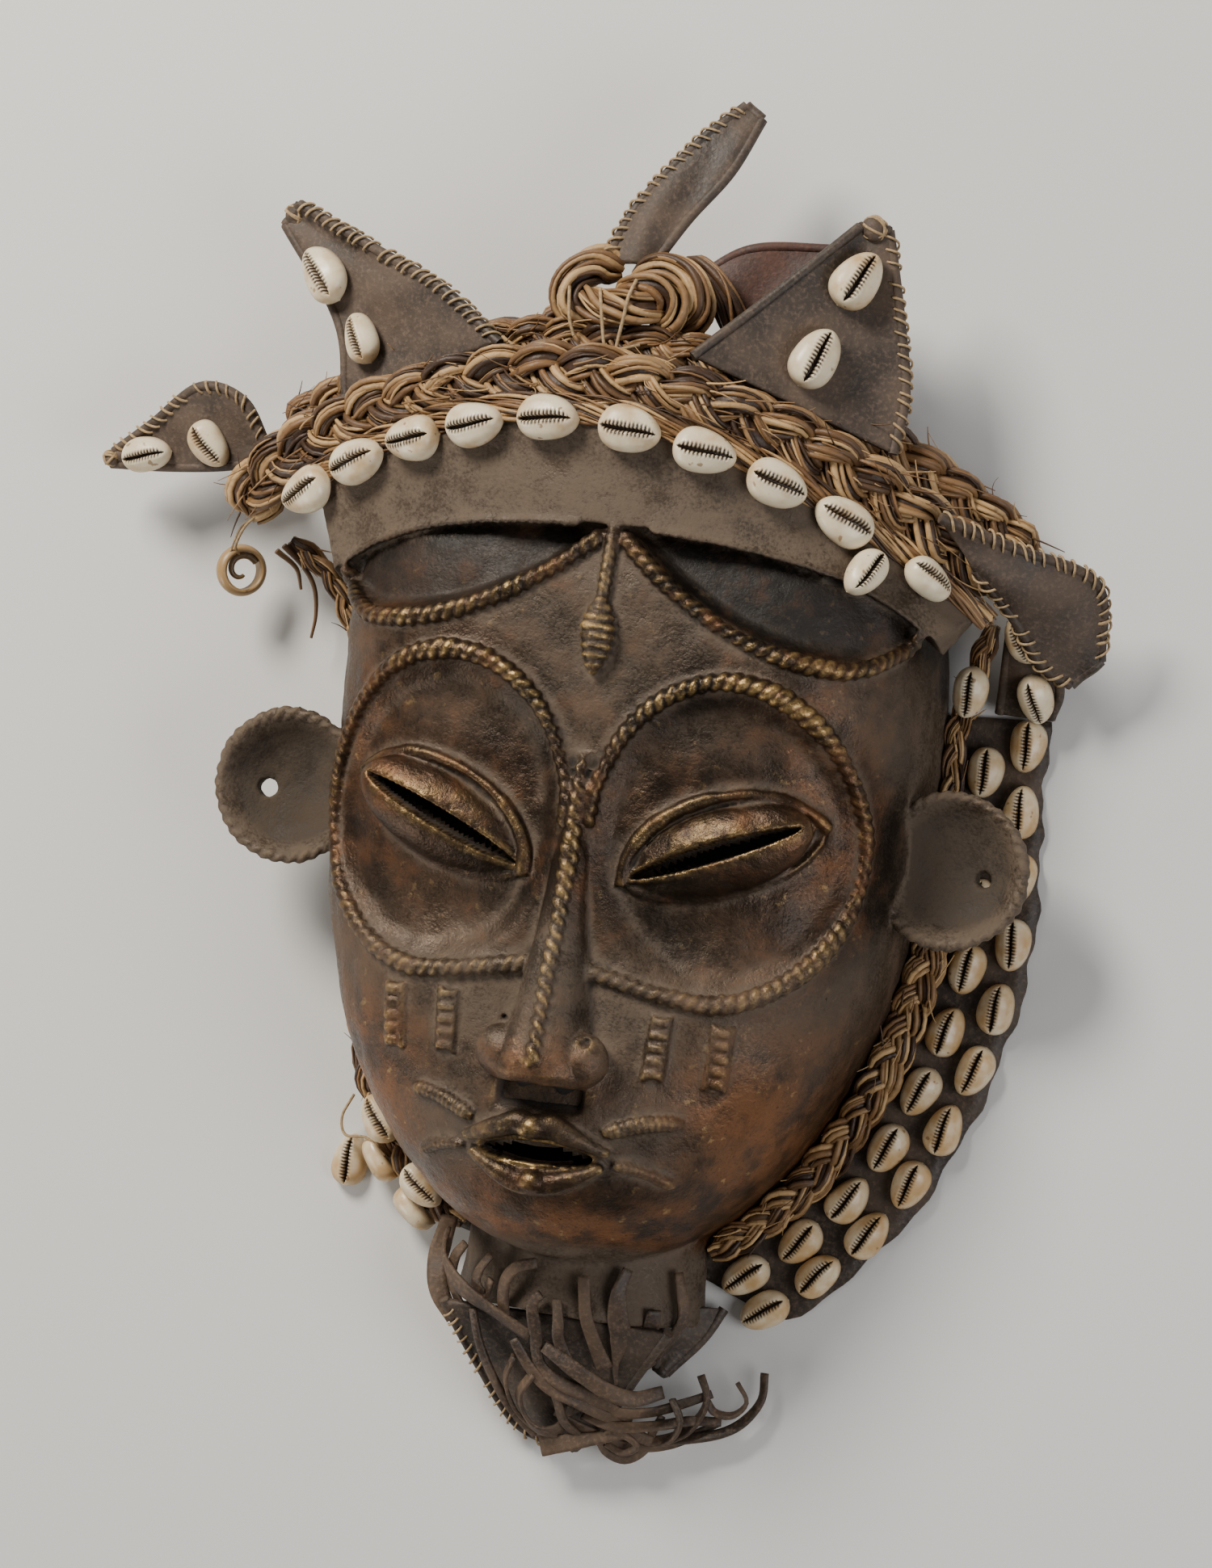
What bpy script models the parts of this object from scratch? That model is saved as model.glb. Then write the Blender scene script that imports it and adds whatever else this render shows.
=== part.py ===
# A cast bronze face mask with a head-dress of fibre plaits, stitched leather and cowries.
# It lies on its back: +Z out of the face, +Y towards the crown, +X to the viewer's right.

from math import atan2, cos, exp, hypot, pi, radians, sin

import bmesh
import bpy
from mathutils import Matrix, Vector

# Driving sizes, in metres
FACE_HALF_WIDTH = 0.100
FACE_DEPTH = 0.0855           # from the back rim to the bridge of the nose
WALL = 0.0034                 # thickness of the casting
CAST_CORD_RADIUS = 0.0032     # the twisted cords cast on the face
EYE_SLIT = 0.0052             # at the middle of its lens shape
MOUTH_SLIT = 0.0060
EAR_HOLE = 0.0065
CLEARANCE = 0.0003            # between pieces that touch

BAND_THICKNESS = 0.0022
BAND_LAP = 0.008              # how far the collar runs in under the rim
LEATHER = 0.0030              # two layers sewn together
BROW_PLAIT_RADIUS = 0.0095
CROWN_PLAIT_RADIUS = 0.0078
SIDE_PLAIT_RADIUS = 0.0065
BROW_SHELL = (0.0205, 0.0148, 0.0080)      # length, width, height
POINT_SHELL = (0.0215, 0.0150, 0.0080)
COLLAR_SHELL = (0.0175, 0.0120, 0.0072)
ROW_SPACING = 0.0012          # between the collar's rows
BAND_MARGIN = 0.0020          # beyond the outer row
OUTER_COUNT, INNER_COUNT, LEFT_COUNT = 11, 10, 2

# Places on the face and around it are in percent of its half width, heights in like shares of its
# depth, measured from the rim plane.
ACROSS = FACE_HALF_WIDTH / 100
UP = FACE_DEPTH / 85.5
RIM_Z = BAND_THICKNESS + CLEARANCE
CHIN, CROWN = 152, 112        # reach of the rim below and above the middle
NECK_HALF_WIDTH, NECK_HEIGHT, NECK_END = 41, 36, 169

parts = bpy.data.collections.new("Cowrie mask")
cast_on = bpy.data.collections.new("Cast on the face")
cutters = bpy.data.collections.new("Cutters")


def start_scene():
    for old in list(bpy.data.objects):
        bpy.data.objects.remove(old, do_unlink=True)
    for collection in (parts, cast_on, cutters):
        bpy.context.scene.collection.children.link(collection)


def spot(x, y, z):
    return Vector((x * ACROSS, y * ACROSS, RIM_Z + z * UP))


def material(name, colour, roughness, metallic=0.0):
    made = bpy.data.materials.new(name)
    made.use_nodes = True
    shader = made.node_tree.nodes["Principled BSDF"]
    shader.inputs["Base Color"].default_value = (*colour, 1)
    shader.inputs["Roughness"].default_value = roughness
    shader.inputs["Metallic"].default_value = metallic
    return made


def add(name, mesh, collection, finish=None):
    made = bpy.data.objects.new(name, mesh)
    collection.objects.link(made)
    if collection is parts:
        mesh.materials.clear()
        mesh.materials.append(finish)
    else:
        made.hide_render = True
        made.display_type = "WIRE"
    return made


def finish_mesh(name, bm, smooth_below=40):
    bmesh.ops.recalc_face_normals(bm, faces=bm.faces)
    mesh = bpy.data.meshes.new(name)
    bm.to_mesh(mesh)
    bm.free()
    mesh.shade_smooth()
    mesh.set_sharp_from_angle(angle=radians(smooth_below))
    return mesh


def tube_mesh(name, points, radius, shares=None, bevel_resolution=1):
    curve = bpy.data.curves.new(name, "CURVE")
    curve.dimensions = "3D"
    curve.bevel_depth = radius
    curve.bevel_resolution = bevel_resolution
    curve.use_fill_caps = True
    spline = curve.splines.new("POLY")
    spline.points.add(len(points) - 1)
    for index, point in enumerate(points):
        spline.points[index].co = (*point, 1)
        spline.points[index].radius = shares[index] if shares else 1
    holder = bpy.data.objects.new(name, curve)
    bpy.context.scene.collection.objects.link(holder)
    seen = holder.evaluated_get(bpy.context.evaluated_depsgraph_get())
    mesh = bpy.data.meshes.new_from_object(seen)
    bpy.data.objects.remove(holder)
    bpy.data.curves.remove(curve)
    bm = bmesh.new()
    bm.from_mesh(mesh)
    bpy.data.meshes.remove(mesh)
    bmesh.ops.remove_doubles(bm, verts=bm.verts, dist=0.00005)
    return finish_mesh(name, bm)


def outline_mesh(name, corners, thickness):
    curve = bpy.data.curves.new(name, "CURVE")
    curve.dimensions = "2D"
    curve.fill_mode = "BOTH"
    curve.extrude = thickness / 2
    spline = curve.splines.new("POLY")
    spline.points.add(len(corners) - 1)
    for index, (x, y) in enumerate(corners):
        spline.points[index].co = (x, y, 0, 1)
    spline.use_cyclic_u = True
    holder = bpy.data.objects.new(name, curve)
    bpy.context.scene.collection.objects.link(holder)
    seen = holder.evaluated_get(bpy.context.evaluated_depsgraph_get())
    mesh = bpy.data.meshes.new_from_object(seen)
    bpy.data.objects.remove(holder)
    bpy.data.curves.remove(curve)
    bm = bmesh.new()
    bm.from_mesh(mesh)
    bpy.data.meshes.remove(mesh)
    bmesh.ops.remove_doubles(bm, verts=bm.verts, dist=0.00005)
    return bm


def smooth_route(points, steps):
    # A curve through the given points, each stretch cut in the given number of steps
    ends = [2 * points[0] - points[1]] + points + [2 * points[-1] - points[-2]]
    route = []
    for a, b, c, d in zip(ends, ends[1:], ends[2:], ends[3:]):
        for step in range(steps):
            t = step / steps
            route.append(0.5 * (2 * b + (c - a) * t + (2 * a - 5 * b + 4 * c - d) * t * t
                                + (3 * b - a - 3 * c + d) * t ** 3))
    return route + [points[-1]]


def ease(value):
    value = min(1, max(0, value))
    return value * value * (3 - 2 * value)


def bump(x, y, centre_x, centre_y, wide, high):
    return exp(-((x - centre_x) / wide) ** 2 - ((y - centre_y) / high) ** 2)


# The face: an outline that is an ellipse below and squarer above

def rim_radius(angle):
    c, s = abs(cos(angle)), abs(sin(angle))
    if sin(angle) < 0:
        return 1 / hypot(c / 100, s / CHIN)
    return 1 / ((c / 100) ** 4 + (s / CROWN) ** 4) ** 0.25


def rim_share(x, y):
    return hypot(x, y) / rim_radius(atan2(y, x))


def roundness(x, y):
    # How square the face is from front to back: more so towards the forehead
    if hypot(x, y) < 1e-9:
        return 3.1
    rise = y / hypot(x, y)
    return 3.1 + (3.0 if y > 0 else 0.8) * rise * rise


def brow_line(x):
    x = abs(x)
    if x < 78:
        return 55 + 38 * (1 - x / 78) ** 2
    return 55 + 22 * ((x - 78) / 25) ** 2


EYE_X, EYE_Y, EYE_WIDE, EYE_HIGH = 47, -6, 43, 52
SLIT_TILT = radians(23)


def eye_field(x, y):
    return hypot((abs(x) - EYE_X) / EYE_WIDE, (y - EYE_Y) / EYE_HIGH)


def relief(x, y):
    x = abs(x)
    muzzle = 11 * bump(x, y, 0, -108, 40, 30)
    brow_recess = 9 * ease((y - brow_line(x)) / 6)
    eye_basin = 4.5 * ease((1 - eye_field(x, y)) / 0.22)
    return muzzle - brow_recess - eye_basin


def skin(x, y, wall=0.0):
    # Height of the face above the rim plane, or of its inside
    share = min(rim_share(x, y), 1)
    e = roundness(x, y)
    return (85.5 - wall) * (1 - share ** e) ** (1 / e) + relief(x, y) * ease((1 - share) / 0.12)


def on_skin(x, y, lift=0.0):
    return spot(x, y, skin(x, y) + lift)


def dome(name, around, rings, wall, foot):
    # A closed dome; its foot is a flat ring set at the given height
    bm = bmesh.new()
    bmesh.ops.create_uvsphere(bm, u_segments=around, v_segments=2 * rings, radius=1)
    bmesh.ops.delete(bm, geom=[v for v in bm.verts if v.co.z < -0.001], context="VERTS")
    for vert in bm.verts:
        flat = hypot(vert.co.x, vert.co.y)
        angle = atan2(vert.co.y, vert.co.x)
        inset = 1 - wall / rim_radius(angle)
        share = min(flat, 1) ** (2 / 3.1)
        x = share * rim_radius(angle) * cos(angle)
        y = share * rim_radius(angle) * sin(angle)
        at_foot = vert.co.z < 0.001
        vert.co = spot(x * inset, y * inset, skin(x, y, wall) - (0 if at_foot else wall * 0.15))
        if at_foot:
            vert.co.z = foot
    bmesh.ops.contextual_create(bm, geom=[e for e in bm.edges if e.is_boundary])
    return finish_mesh(name, bm)


def loft(name, sections):
    # A closed body through like rings of points
    bm = bmesh.new()
    rings = [[bm.verts.new(point) for point in section] for section in sections]
    for low, high in zip(rings, rings[1:]):
        for index in range(len(low)):
            after = (index + 1) % len(low)
            bm.faces.new((low[index], low[after], high[after], high[index]))
    bm.faces.new(rings[0])
    bm.faces.new(rings[-1])
    return finish_mesh(name, bm)


def ball(name, centre, size, around=10, rings=6, turn=None):
    bm = bmesh.new()
    bmesh.ops.create_uvsphere(bm, u_segments=around, v_segments=rings, radius=1)
    bmesh.ops.scale(bm, vec=size, verts=bm.verts)
    if turn:
        bmesh.ops.rotate(bm, matrix=turn, verts=bm.verts)
    bmesh.ops.translate(bm, vec=centre, verts=bm.verts)
    return finish_mesh(name, bm)


def block(name, centre, size, turn=None):
    bm = bmesh.new()
    bmesh.ops.create_cube(bm, size=1)
    bmesh.ops.scale(bm, vec=size, verts=bm.verts)
    if turn:
        bmesh.ops.rotate(bm, matrix=turn, verts=bm.verts)
    bmesh.ops.translate(bm, vec=centre, verts=bm.verts)
    return finish_mesh(name, bm)


def rod(name, centre, radius, length, turn=None, sides=8):
    bm = bmesh.new()
    bmesh.ops.create_cone(bm, cap_ends=True, segments=sides, radius1=radius, radius2=radius, depth=length)
    if turn:
        bmesh.ops.rotate(bm, matrix=turn, verts=bm.verts)
    bmesh.ops.translate(bm, vec=centre, verts=bm.verts)
    return finish_mesh(name, bm)


# The arch of the head-dress, over the brow

ARCH_LEFT, ARCH_RIGHT, ARCH_MIDDLE = 141, 123, -5


def arch_middle(x):
    span = ARCH_RIGHT if x > ARCH_MIDDLE else ARCH_LEFT
    fall = abs((x - ARCH_MIDDLE) / span) ** 1.8
    return spot(x, 139 - 0.0029 * (x + 15) ** 2, 81.5 - 53 * fall)


def arch(x, forward=0.0, upward=0.0):
    # A place beside the middle of the brow plait, square to its run: out of the face, and to the crown
    along = (arch_middle(x + 1) - arch_middle(x - 1)).normalized()
    out = (Vector((0, 0, 1)) - along * along.z).normalized()
    return arch_middle(x) + out * forward + out.cross(along) * upward


def flange_foot(x):
    share = abs(x) / 97
    return 92 - 12 * share ** 2 - 8 * share ** 6, 83.5 - 28 * share ** 2


def flange_edge(x):
    # The front of the edge that carries the brow plait, the way to the flange's foot, and its face
    edge = arch(x, 0.0055, -BROW_PLAIT_RADIUS - 2 * CLEARANCE)
    foot_y, foot_z = flange_foot(x * 0.87)
    down = (spot(x * 0.87, foot_y, foot_z) - edge).normalized()
    along = (arch_middle(x + 1) - arch_middle(x - 1)).normalized()
    return edge, down, along, down.cross(along).normalized()


def brow_flange():
    # Flares from the forehead to the edge that carries the brow plait
    sections = []
    for step in range(-8, 9):
        x = step * 118 / 8
        foot_y, foot_z = flange_foot(x * 0.87)
        sections.append((flange_edge(x)[0], arch(x, 0.0015, -BROW_PLAIT_RADIUS - 2 * CLEARANCE),
                         spot(x * 0.87, foot_y + 9, foot_z - 20), spot(x * 0.87, foot_y, foot_z)))
    add("brow flange", loft("brow flange", sections), cast_on)


def eye_ring(side):
    route = []
    for step in range(19):
        angle = radians(161 - step * 251 / 18)
        route.append((EYE_X + EYE_WIDE * cos(angle), EYE_Y + EYE_HIGH * sin(angle)))
    route += [(31, -56), (16, -53)]
    return [on_skin(side * x, y, 0.6) for x, y in route]


def brow_cord(side):
    return [on_skin(side * x, brow_line(x) - 1, 0.5) for x in (4, 15, 27, 40, 54, 68, 80, 90, 97)]


def nose():
    sections = []
    for y, half, ridge in ((16, 4, 88), (-10, 6, 88), (-40, 9, 93), (-64, 12, 99), (-82, 15, 104), (-87, 15, 103)):
        low = skin(half, y) - 5
        sections.append([spot(x * half, y, low + (ridge - low) * rise) for x, rise in
                         ((-1, 0), (-0.9, 0.55), (-0.35, 1), (0.35, 1), (0.9, 0.55), (1, 0))])
    add("nose", loft("nose", sections), cast_on)
    for side in (-1, 1):
        add("nostril wing", ball("nostril wing", spot(side * 13, -79.8, 92),
                                 (8.5 * ACROSS, 8 * ACROSS, 8 * UP), 8, 6), cast_on)
    ridge = [spot(0, y, z + 1) for y, z in ((14, 88.5), (-10, 88), (-40, 93), (-64, 99), (-84, 104))]
    add("nose cord", tube_mesh("nose cord", ridge, CAST_CORD_RADIUS), cast_on)


def slit(name, middle, half_length, half_width, tilt):
    # A lens-shaped prism down through the casting
    lens = ((-1, -0.2), (-0.62, -0.78), (-0.20, -1), (0.24, -1), (0.64, -0.75), (0.99, -0.2),
            (0.99, 0.2), (0.60, 0.78), (0.19, 1), (-0.27, 1), (-0.66, 0.75), (-1, 0.2))
    sections = []
    for height in (-30, 30):
        centre = on_skin(*middle, height)
        sections.append([centre + tilt @ Vector((across * half_length, high * half_width, 0))
                         for across, high in lens])
    add(name, loft(name, sections), cutters)


def eyes():
    for side in (-1, 1):
        tilt = Matrix.Rotation(side * SLIT_TILT, 3, "Z")
        middle = (side * 46, -9)
        add("eyeball", ball("eyeball", on_skin(*middle, -2), (33 * ACROSS, 15 * ACROSS, 10 * UP), 12, 6, tilt),
            cast_on)
        lid = []
        for across, high in ((-33, -1), (-22, 11), (-6, 17), (12, 16), (26, 9), (34, 0)):
            place = tilt @ Vector((side * across, high, 0))
            lid.append(on_skin(middle[0] + place.x, middle[1] + place.y, 1.0))
        add("lid line", tube_mesh("lid line", lid, CAST_CORD_RADIUS * 0.7), cast_on)
        slit("eye slit", middle, 27.4 * ACROSS, EYE_SLIT / 2, tilt)


def mouth():
    lips = (("upper lip", ((-24, -108.8), (-14, -105.6), (-4, -102.6)), 1.3),
            ("lower lip", ((-21.5, -114.6), (-14, -118.6), (-4, -121.6)), 1.4))
    for name, half, thick in lips:
        route = half + tuple((-x, y) for x, y in reversed(half))
        points = [on_skin(x, y, 2.5 - abs(x) / 12) for x, y in route]
        add(name, tube_mesh(name, points, CAST_CORD_RADIUS * thick, (0.45, 0.95, 1.15, 1.15, 0.95, 0.45)), cast_on)
    slit("mouth slit", (0, -112), 18.5 * ACROSS, MOUTH_SLIT / 2, Matrix.Identity(3))


def scars():
    for side in (-1, 1):
        for top, foot in (((55.5, -64), (54, -84)), ((36, -64), (35, -84))):
            for step in range(4):
                share = (step + 0.5) / 4
                x = side * (top[0] + (foot[0] - top[0]) * share)
                y = top[1] + (foot[1] - top[1]) * share
                add("cheek bar", block("cheek bar", on_skin(x, y), (6 * ACROSS, 4.2 * ACROSS, 6 * UP)), cast_on)
        for start, end in (((45, -98), (23, -103)), ((42, -118), (26, -113))):
            points = [on_skin(side * (start[0] + (end[0] - start[0]) * t),
                              start[1] + (end[1] - start[1]) * t, 0.4) for t in (0, 0.5, 1)]
            add("whisker bar", tube_mesh("whisker bar", points, CAST_CORD_RADIUS), cast_on)


def forehead_drop():
    stem = [on_skin(0, y, 1.2) for y in (90, 82, 74, 66)]
    add("drop stem", tube_mesh("drop stem", stem, CAST_CORD_RADIUS * 0.75), cast_on)
    add("drop", ball("drop", on_skin(0, 55.4, 2.3), (4.6 * ACROSS, 12 * ACROSS, 5 * UP), 8, 6), cast_on)


def ears():
    # A cupped disc at each side, its rim a cord
    for side in (-1, 1):
        bm = bmesh.new()
        profile = ((0.1, -7), (15, -5), (23, 3), (25, 6), (22, 7), (14, 0.5), (0.1, -2))
        points = [bm.verts.new((r * ACROSS, 0, z * UP)) for r, z in profile]
        edges = [bm.edges.new(pair) for pair in zip(points, points[1:])]
        bmesh.ops.spin(bm, geom=points + edges, cent=(0, 0, 0), axis=(0, 0, 1), angle=2 * pi, steps=14,
                       use_merge=True)
        bmesh.ops.remove_doubles(bm, verts=bm.verts, dist=0.0004)
        bmesh.ops.holes_fill(bm, edges=bm.edges)
        bmesh.ops.translate(bm, vec=spot(side * 114, -6, 30), verts=bm.verts)
        add("ear", finish_mesh("ear", bm), cast_on)
        add("ear hole", rod("ear hole", spot(side * 124, -8, 30), EAR_HOLE / 2, 40 * UP), cutters)


def neck():
    # A short half-round sleeve under the chin
    def ring(y, half, high):
        points = []
        for step in range(9):
            angle = pi * step / 8
            points.append(spot(half * cos(angle), y, 0.6 + high * sin(angle)))
        return points
    wall = WALL / ACROSS
    ends = []
    for y in (-138, -NECK_END):
        outer = ring(y, NECK_HALF_WIDTH, NECK_HEIGHT)
        inner = ring(y, NECK_HALF_WIDTH - wall, NECK_HEIGHT - wall)
        ends.append(outer + inner[::-1])
    bm = bmesh.new()
    rings = [[bm.verts.new(point) for point in end] for end in ends]
    count = len(rings[0])
    for index in range(count):
        after = (index + 1) % count
        bm.faces.new((rings[0][index], rings[0][after], rings[1][after], rings[1][index]))
    for points in rings:
        for index in range(8):
            bm.faces.new((points[index], points[index + 1], points[count - 2 - index], points[count - 1 - index]))
    add("neck", finish_mesh("neck", bm), cast_on)


def bronze_mask(finish):
    mask = add("bronze_mask", dome("bronze_mask", 48, 14, 0, RIM_Z), parts, finish)
    brow_flange()
    for side in (-1, 1):
        add("eye ring", tube_mesh("eye ring", eye_ring(side), CAST_CORD_RADIUS), cast_on)
        add("brow cord", tube_mesh("brow cord", brow_cord(side), CAST_CORD_RADIUS), cast_on)
    nose()
    eyes()
    mouth()
    scars()
    forehead_drop()
    ears()
    neck()
    add("hollow", dome("hollow", 32, 8, WALL / ACROSS, RIM_Z - 0.002), cutters)
    for operation, collection in (("UNION", cast_on), ("DIFFERENCE", cutters)):
        for other in collection.objects:
            joining = mask.modifiers.new(other.name, "BOOLEAN")
            joining.operation = operation
            joining.object = other
    tidy = mask.modifiers.new("close slivers", "WELD")
    tidy.merge_threshold = 0.00003


# Plaits, each a rounded bar that swells and narrows with its strands

def plait(name, route, radius, finish, bevel_resolution, stride, thin=None):
    # Evenly spaced points, every second one at a crossing of the strands
    fine = smooth_route(route, 24)
    spaced, run, widths = [fine[0]], 0.0, [1.0]
    for index, (before, after) in enumerate(zip(fine, fine[1:])):
        run += (after - before).length
        if run >= stride * radius:
            spaced.append(after)
            widths.append(thin[min(len(thin) - 1, round((index + 1) / 24))] if thin else 1.0)
            run = 0.0
    shares = [widths[index] * (1.0 if index % 2 else 0.86) for index in range(len(spaced))]
    shares[0] = shares[-1] = 0.5
    return add(name, tube_mesh(name, spaced, radius, shares, bevel_resolution), parts, finish)


def beside_rim(side, angle, offset, height):
    # A point outside the face's outline, by the offset, and the direction along it
    def rim(a):
        return Vector((rim_radius(a) * cos(a), rim_radius(a) * sin(a), 0)) * ACROSS
    along = (rim(angle - 0.01) - rim(angle + 0.01)).normalized()
    point = rim(angle) + Vector((-along.y, along.x, 0)) * offset
    return Vector((side * point.x, point.y, height)), Vector((side * along.x, along.y, 0))


def thinness(side, angle):
    # The side plaits are thinner at the temples, the left one down to the cheek
    if side > 0:
        return 1 - 0.42 * ease((angle + 25) / 40) - 0.20 * ease((-52 - angle) / 22)
    return 1 - 0.42 * ease((angle + 57) / 20)


def row_beside_rim(side, row, height, first, last, count):
    # So many places at even distances from one angle to another, both in degrees. The row is counted
    # outwards from the plait, whose own is 0.
    def at(angle):
        plait_width = 2 * SIDE_PLAIT_RADIUS * thinness(side, angle)
        offset = plait_width / 2 + 2 * CLEARANCE
        if row > 0:
            offset = plait_width + 3 * CLEARANCE + COLLAR_SHELL[1] / 2 + (row - 1) * (COLLAR_SHELL[1] + ROW_SPACING)
        return beside_rim(side, radians(angle), offset, height)
    line = [at(first + (last - first) * step / 400)[0] for step in range(401)]
    runs = [0.0]
    for before, after in zip(line, line[1:]):
        runs.append(runs[-1] + (after - before).length)
    places, step = [], 0
    for number in range(count):
        while step < 400 and runs[step] < runs[-1] * number / (count - 1) - 1e-9:
            step += 1
        places.append(at(first + (last - first) * step / 400))
    return places


NECK_BAND_REACH = 0.010
BAND_TOP = 24                 # where the flat collar ends at the temples, in degrees
NECK_GAP = -74                # where the plaits and rows end beside the neck


def side_plait(side, finish):
    top = ((108, 52, 9), (111, 64, 14), (115, 75, 19)) if side > 0 else ((108, 52, 9), (116, 66, 14), (129, 76, 20))
    route = [spot(side * x, y, z) for x, y, z in reversed(top)]
    for angle in range(22, NECK_GAP - 1, -8):
        radius = SIDE_PLAIT_RADIUS * thinness(side, angle)
        route.append(beside_rim(side, radians(angle), radius + 2 * CLEARANCE, RIM_Z + radius)[0])
    thin = [thinness(side, 30)] * len(top) + [thinness(side, angle) for angle in range(22, NECK_GAP - 1, -8)]
    name = "side_plait_right" if side > 0 else "side_plait_left"
    return plait(name, route, SIDE_PLAIT_RADIUS, finish, 1, 1.6, thin)


def shell_mesh(name, size, around=8, rings=3):
    # A cowrie: an oval dome on a nearly flat back
    bm = bmesh.new()
    bmesh.ops.create_uvsphere(bm, u_segments=around, v_segments=rings, radius=1)
    for vert in bm.verts:
        rise = vert.co.z if vert.co.z > 0 else vert.co.z * 0.2
        vert.co = Vector((vert.co.x * size[0] / 1.73, vert.co.y * size[1] / 1.73, (rise + 0.2) * size[2] / 1.2))
    return finish_mesh(name, bm, 60)


def shell(name, seat, along, out, size, finish, collection=parts, **shape):
    # Its back sits on the seat, its length runs along, and it faces out
    out = (out - along * out.dot(along) / along.dot(along)).normalized()
    along = along.normalized()
    turn = Matrix((along, out.cross(along), out)).transposed().to_4x4()
    made = add(name, shell_mesh(name, size, **shape), collection, finish)
    made.matrix_world = Matrix.Translation(seat) @ turn
    return made


def fuse(body, shells):
    for other in shells:
        joining = body.modifiers.new(other.name, "BOOLEAN")
        joining.operation = "UNION"
        joining.object = other


def band_reach(side, angle):
    if angle <= NECK_GAP:
        return NECK_BAND_REACH
    reach = 2 * SIDE_PLAIT_RADIUS * thinness(side, angle)
    return reach + 2 * COLLAR_SHELL[1] + ROW_SPACING + BAND_MARGIN if side > 0 else reach


def collar(leather_finish, fibre, ivory):
    outer, inner = [], []
    for angle in range(BAND_TOP, -91, -6):
        outer.append((angle, 1, band_reach(1, angle)))
    for angle in range(-84, BAND_TOP + 1, 6):
        outer.append((angle, -1, band_reach(-1, angle)))
    for angle in range(BAND_TOP, -91, -12):
        inner.append((angle, -1, -BAND_LAP))
    for angle in range(-84, BAND_TOP + 1, 12):
        inner.append((angle, 1, -BAND_LAP))
    corners = [beside_rim(side, radians(angle), reach, 0)[0].xy for angle, side, reach in outer + inner]
    bm = outline_mesh("cowrie_band", corners, BAND_THICKNESS)
    bmesh.ops.translate(bm, vec=(0, 0, BAND_THICKNESS / 2), verts=bm.verts)
    band = add("cowrie_band", finish_mesh("cowrie_band", bm), parts, leather_finish)

    upward = Vector((0, 0, 1))
    fused = []
    for row, count, first in ((2, OUTER_COUNT, 20), (1, INNER_COUNT, 15)):
        places = row_beside_rim(1, row, BAND_THICKNESS, first, NECK_GAP + 2, count)
        for number, (point, along) in enumerate(places):
            name = f"{('inner', 'outer')[row - 1]}_cowrie_{number + 1:02d}"
            if number < 4:
                fused.append(shell(name, point - upward * 0.001, along, upward, COLLAR_SHELL, ivory, cast_on,
                                   around=6))
            else:
                shell(name, point + upward * CLEARANCE, along, upward, COLLAR_SHELL, ivory)
    fuse(band, fused)

    side_plait(1, fibre)
    left = side_plait(-1, fibre)
    height = RIM_Z + 1.8 * SIDE_PLAIT_RADIUS
    fused = []
    for point, along in row_beside_rim(-1, 0, height, -58, NECK_GAP + 6, LEFT_COUNT):
        fused.append(shell("left row", point, along, upward, COLLAR_SHELL, ivory, cast_on, around=6))
    fuse(left, fused)


def head_plaits(fibre):
    ends = [spot(-143, 84, 24)] + [arch(x) for x in (-135, -112, -86, -58, -30, 0, 30, 58, 84, 106, 118)]
    plait("brow_plait", ends, BROW_PLAIT_RADIUS, fibre, 2, 1.05)
    reach = (BROW_PLAIT_RADIUS + CROWN_PLAIT_RADIUS + LEATHER + 5 * CLEARANCE)
    back, rise = -reach * 0.82, reach * 0.57
    crown = [arch(x, back, rise) for x in (-132, -108, -82, -56, -30, 0, 30, 56, 80, 104, 122)]
    plait("crown_plait", crown, CROWN_PLAIT_RADIUS, fibre, 1, 1.6)

    knot = add("crown_knot", ball("crown_knot", spot(-9, 170, 60), (9 * ACROSS, 10 * ACROSS, 13 * UP), 8, 6),
               parts, fibre)
    lobes = []
    for x, turn in ((-21, 20), (4, -20)):
        tilt = Matrix.Rotation(radians(turn), 3, "Z")
        lobes.append(add("knot loop", ball("knot loop", spot(x, 170, 57), (13 * ACROSS, 8.5 * ACROSS, 11 * UP),
                                           8, 6, tilt), cast_on))
    fuse(knot, lobes)


def leather_piece(name, corners, slope, finish):
    # A flat outline on a slope that passes through three places
    a, b, c = (spot(*place) for place in slope)
    normal = (b - a).cross(c - a).normalized()
    bm = outline_mesh(name, [(x * ACROSS, y * ACROSS) for x, y in corners], LEATHER / abs(normal.z))
    for vert in bm.verts:
        vert.co.z += a.z - (normal.x * (vert.co.x - a.x) + normal.y * (vert.co.y - a.y)) / normal.z
    piece = add(name, finish_mesh(name, bm), parts, finish)
    return piece, a, normal if normal.z > 0 else -normal


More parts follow.
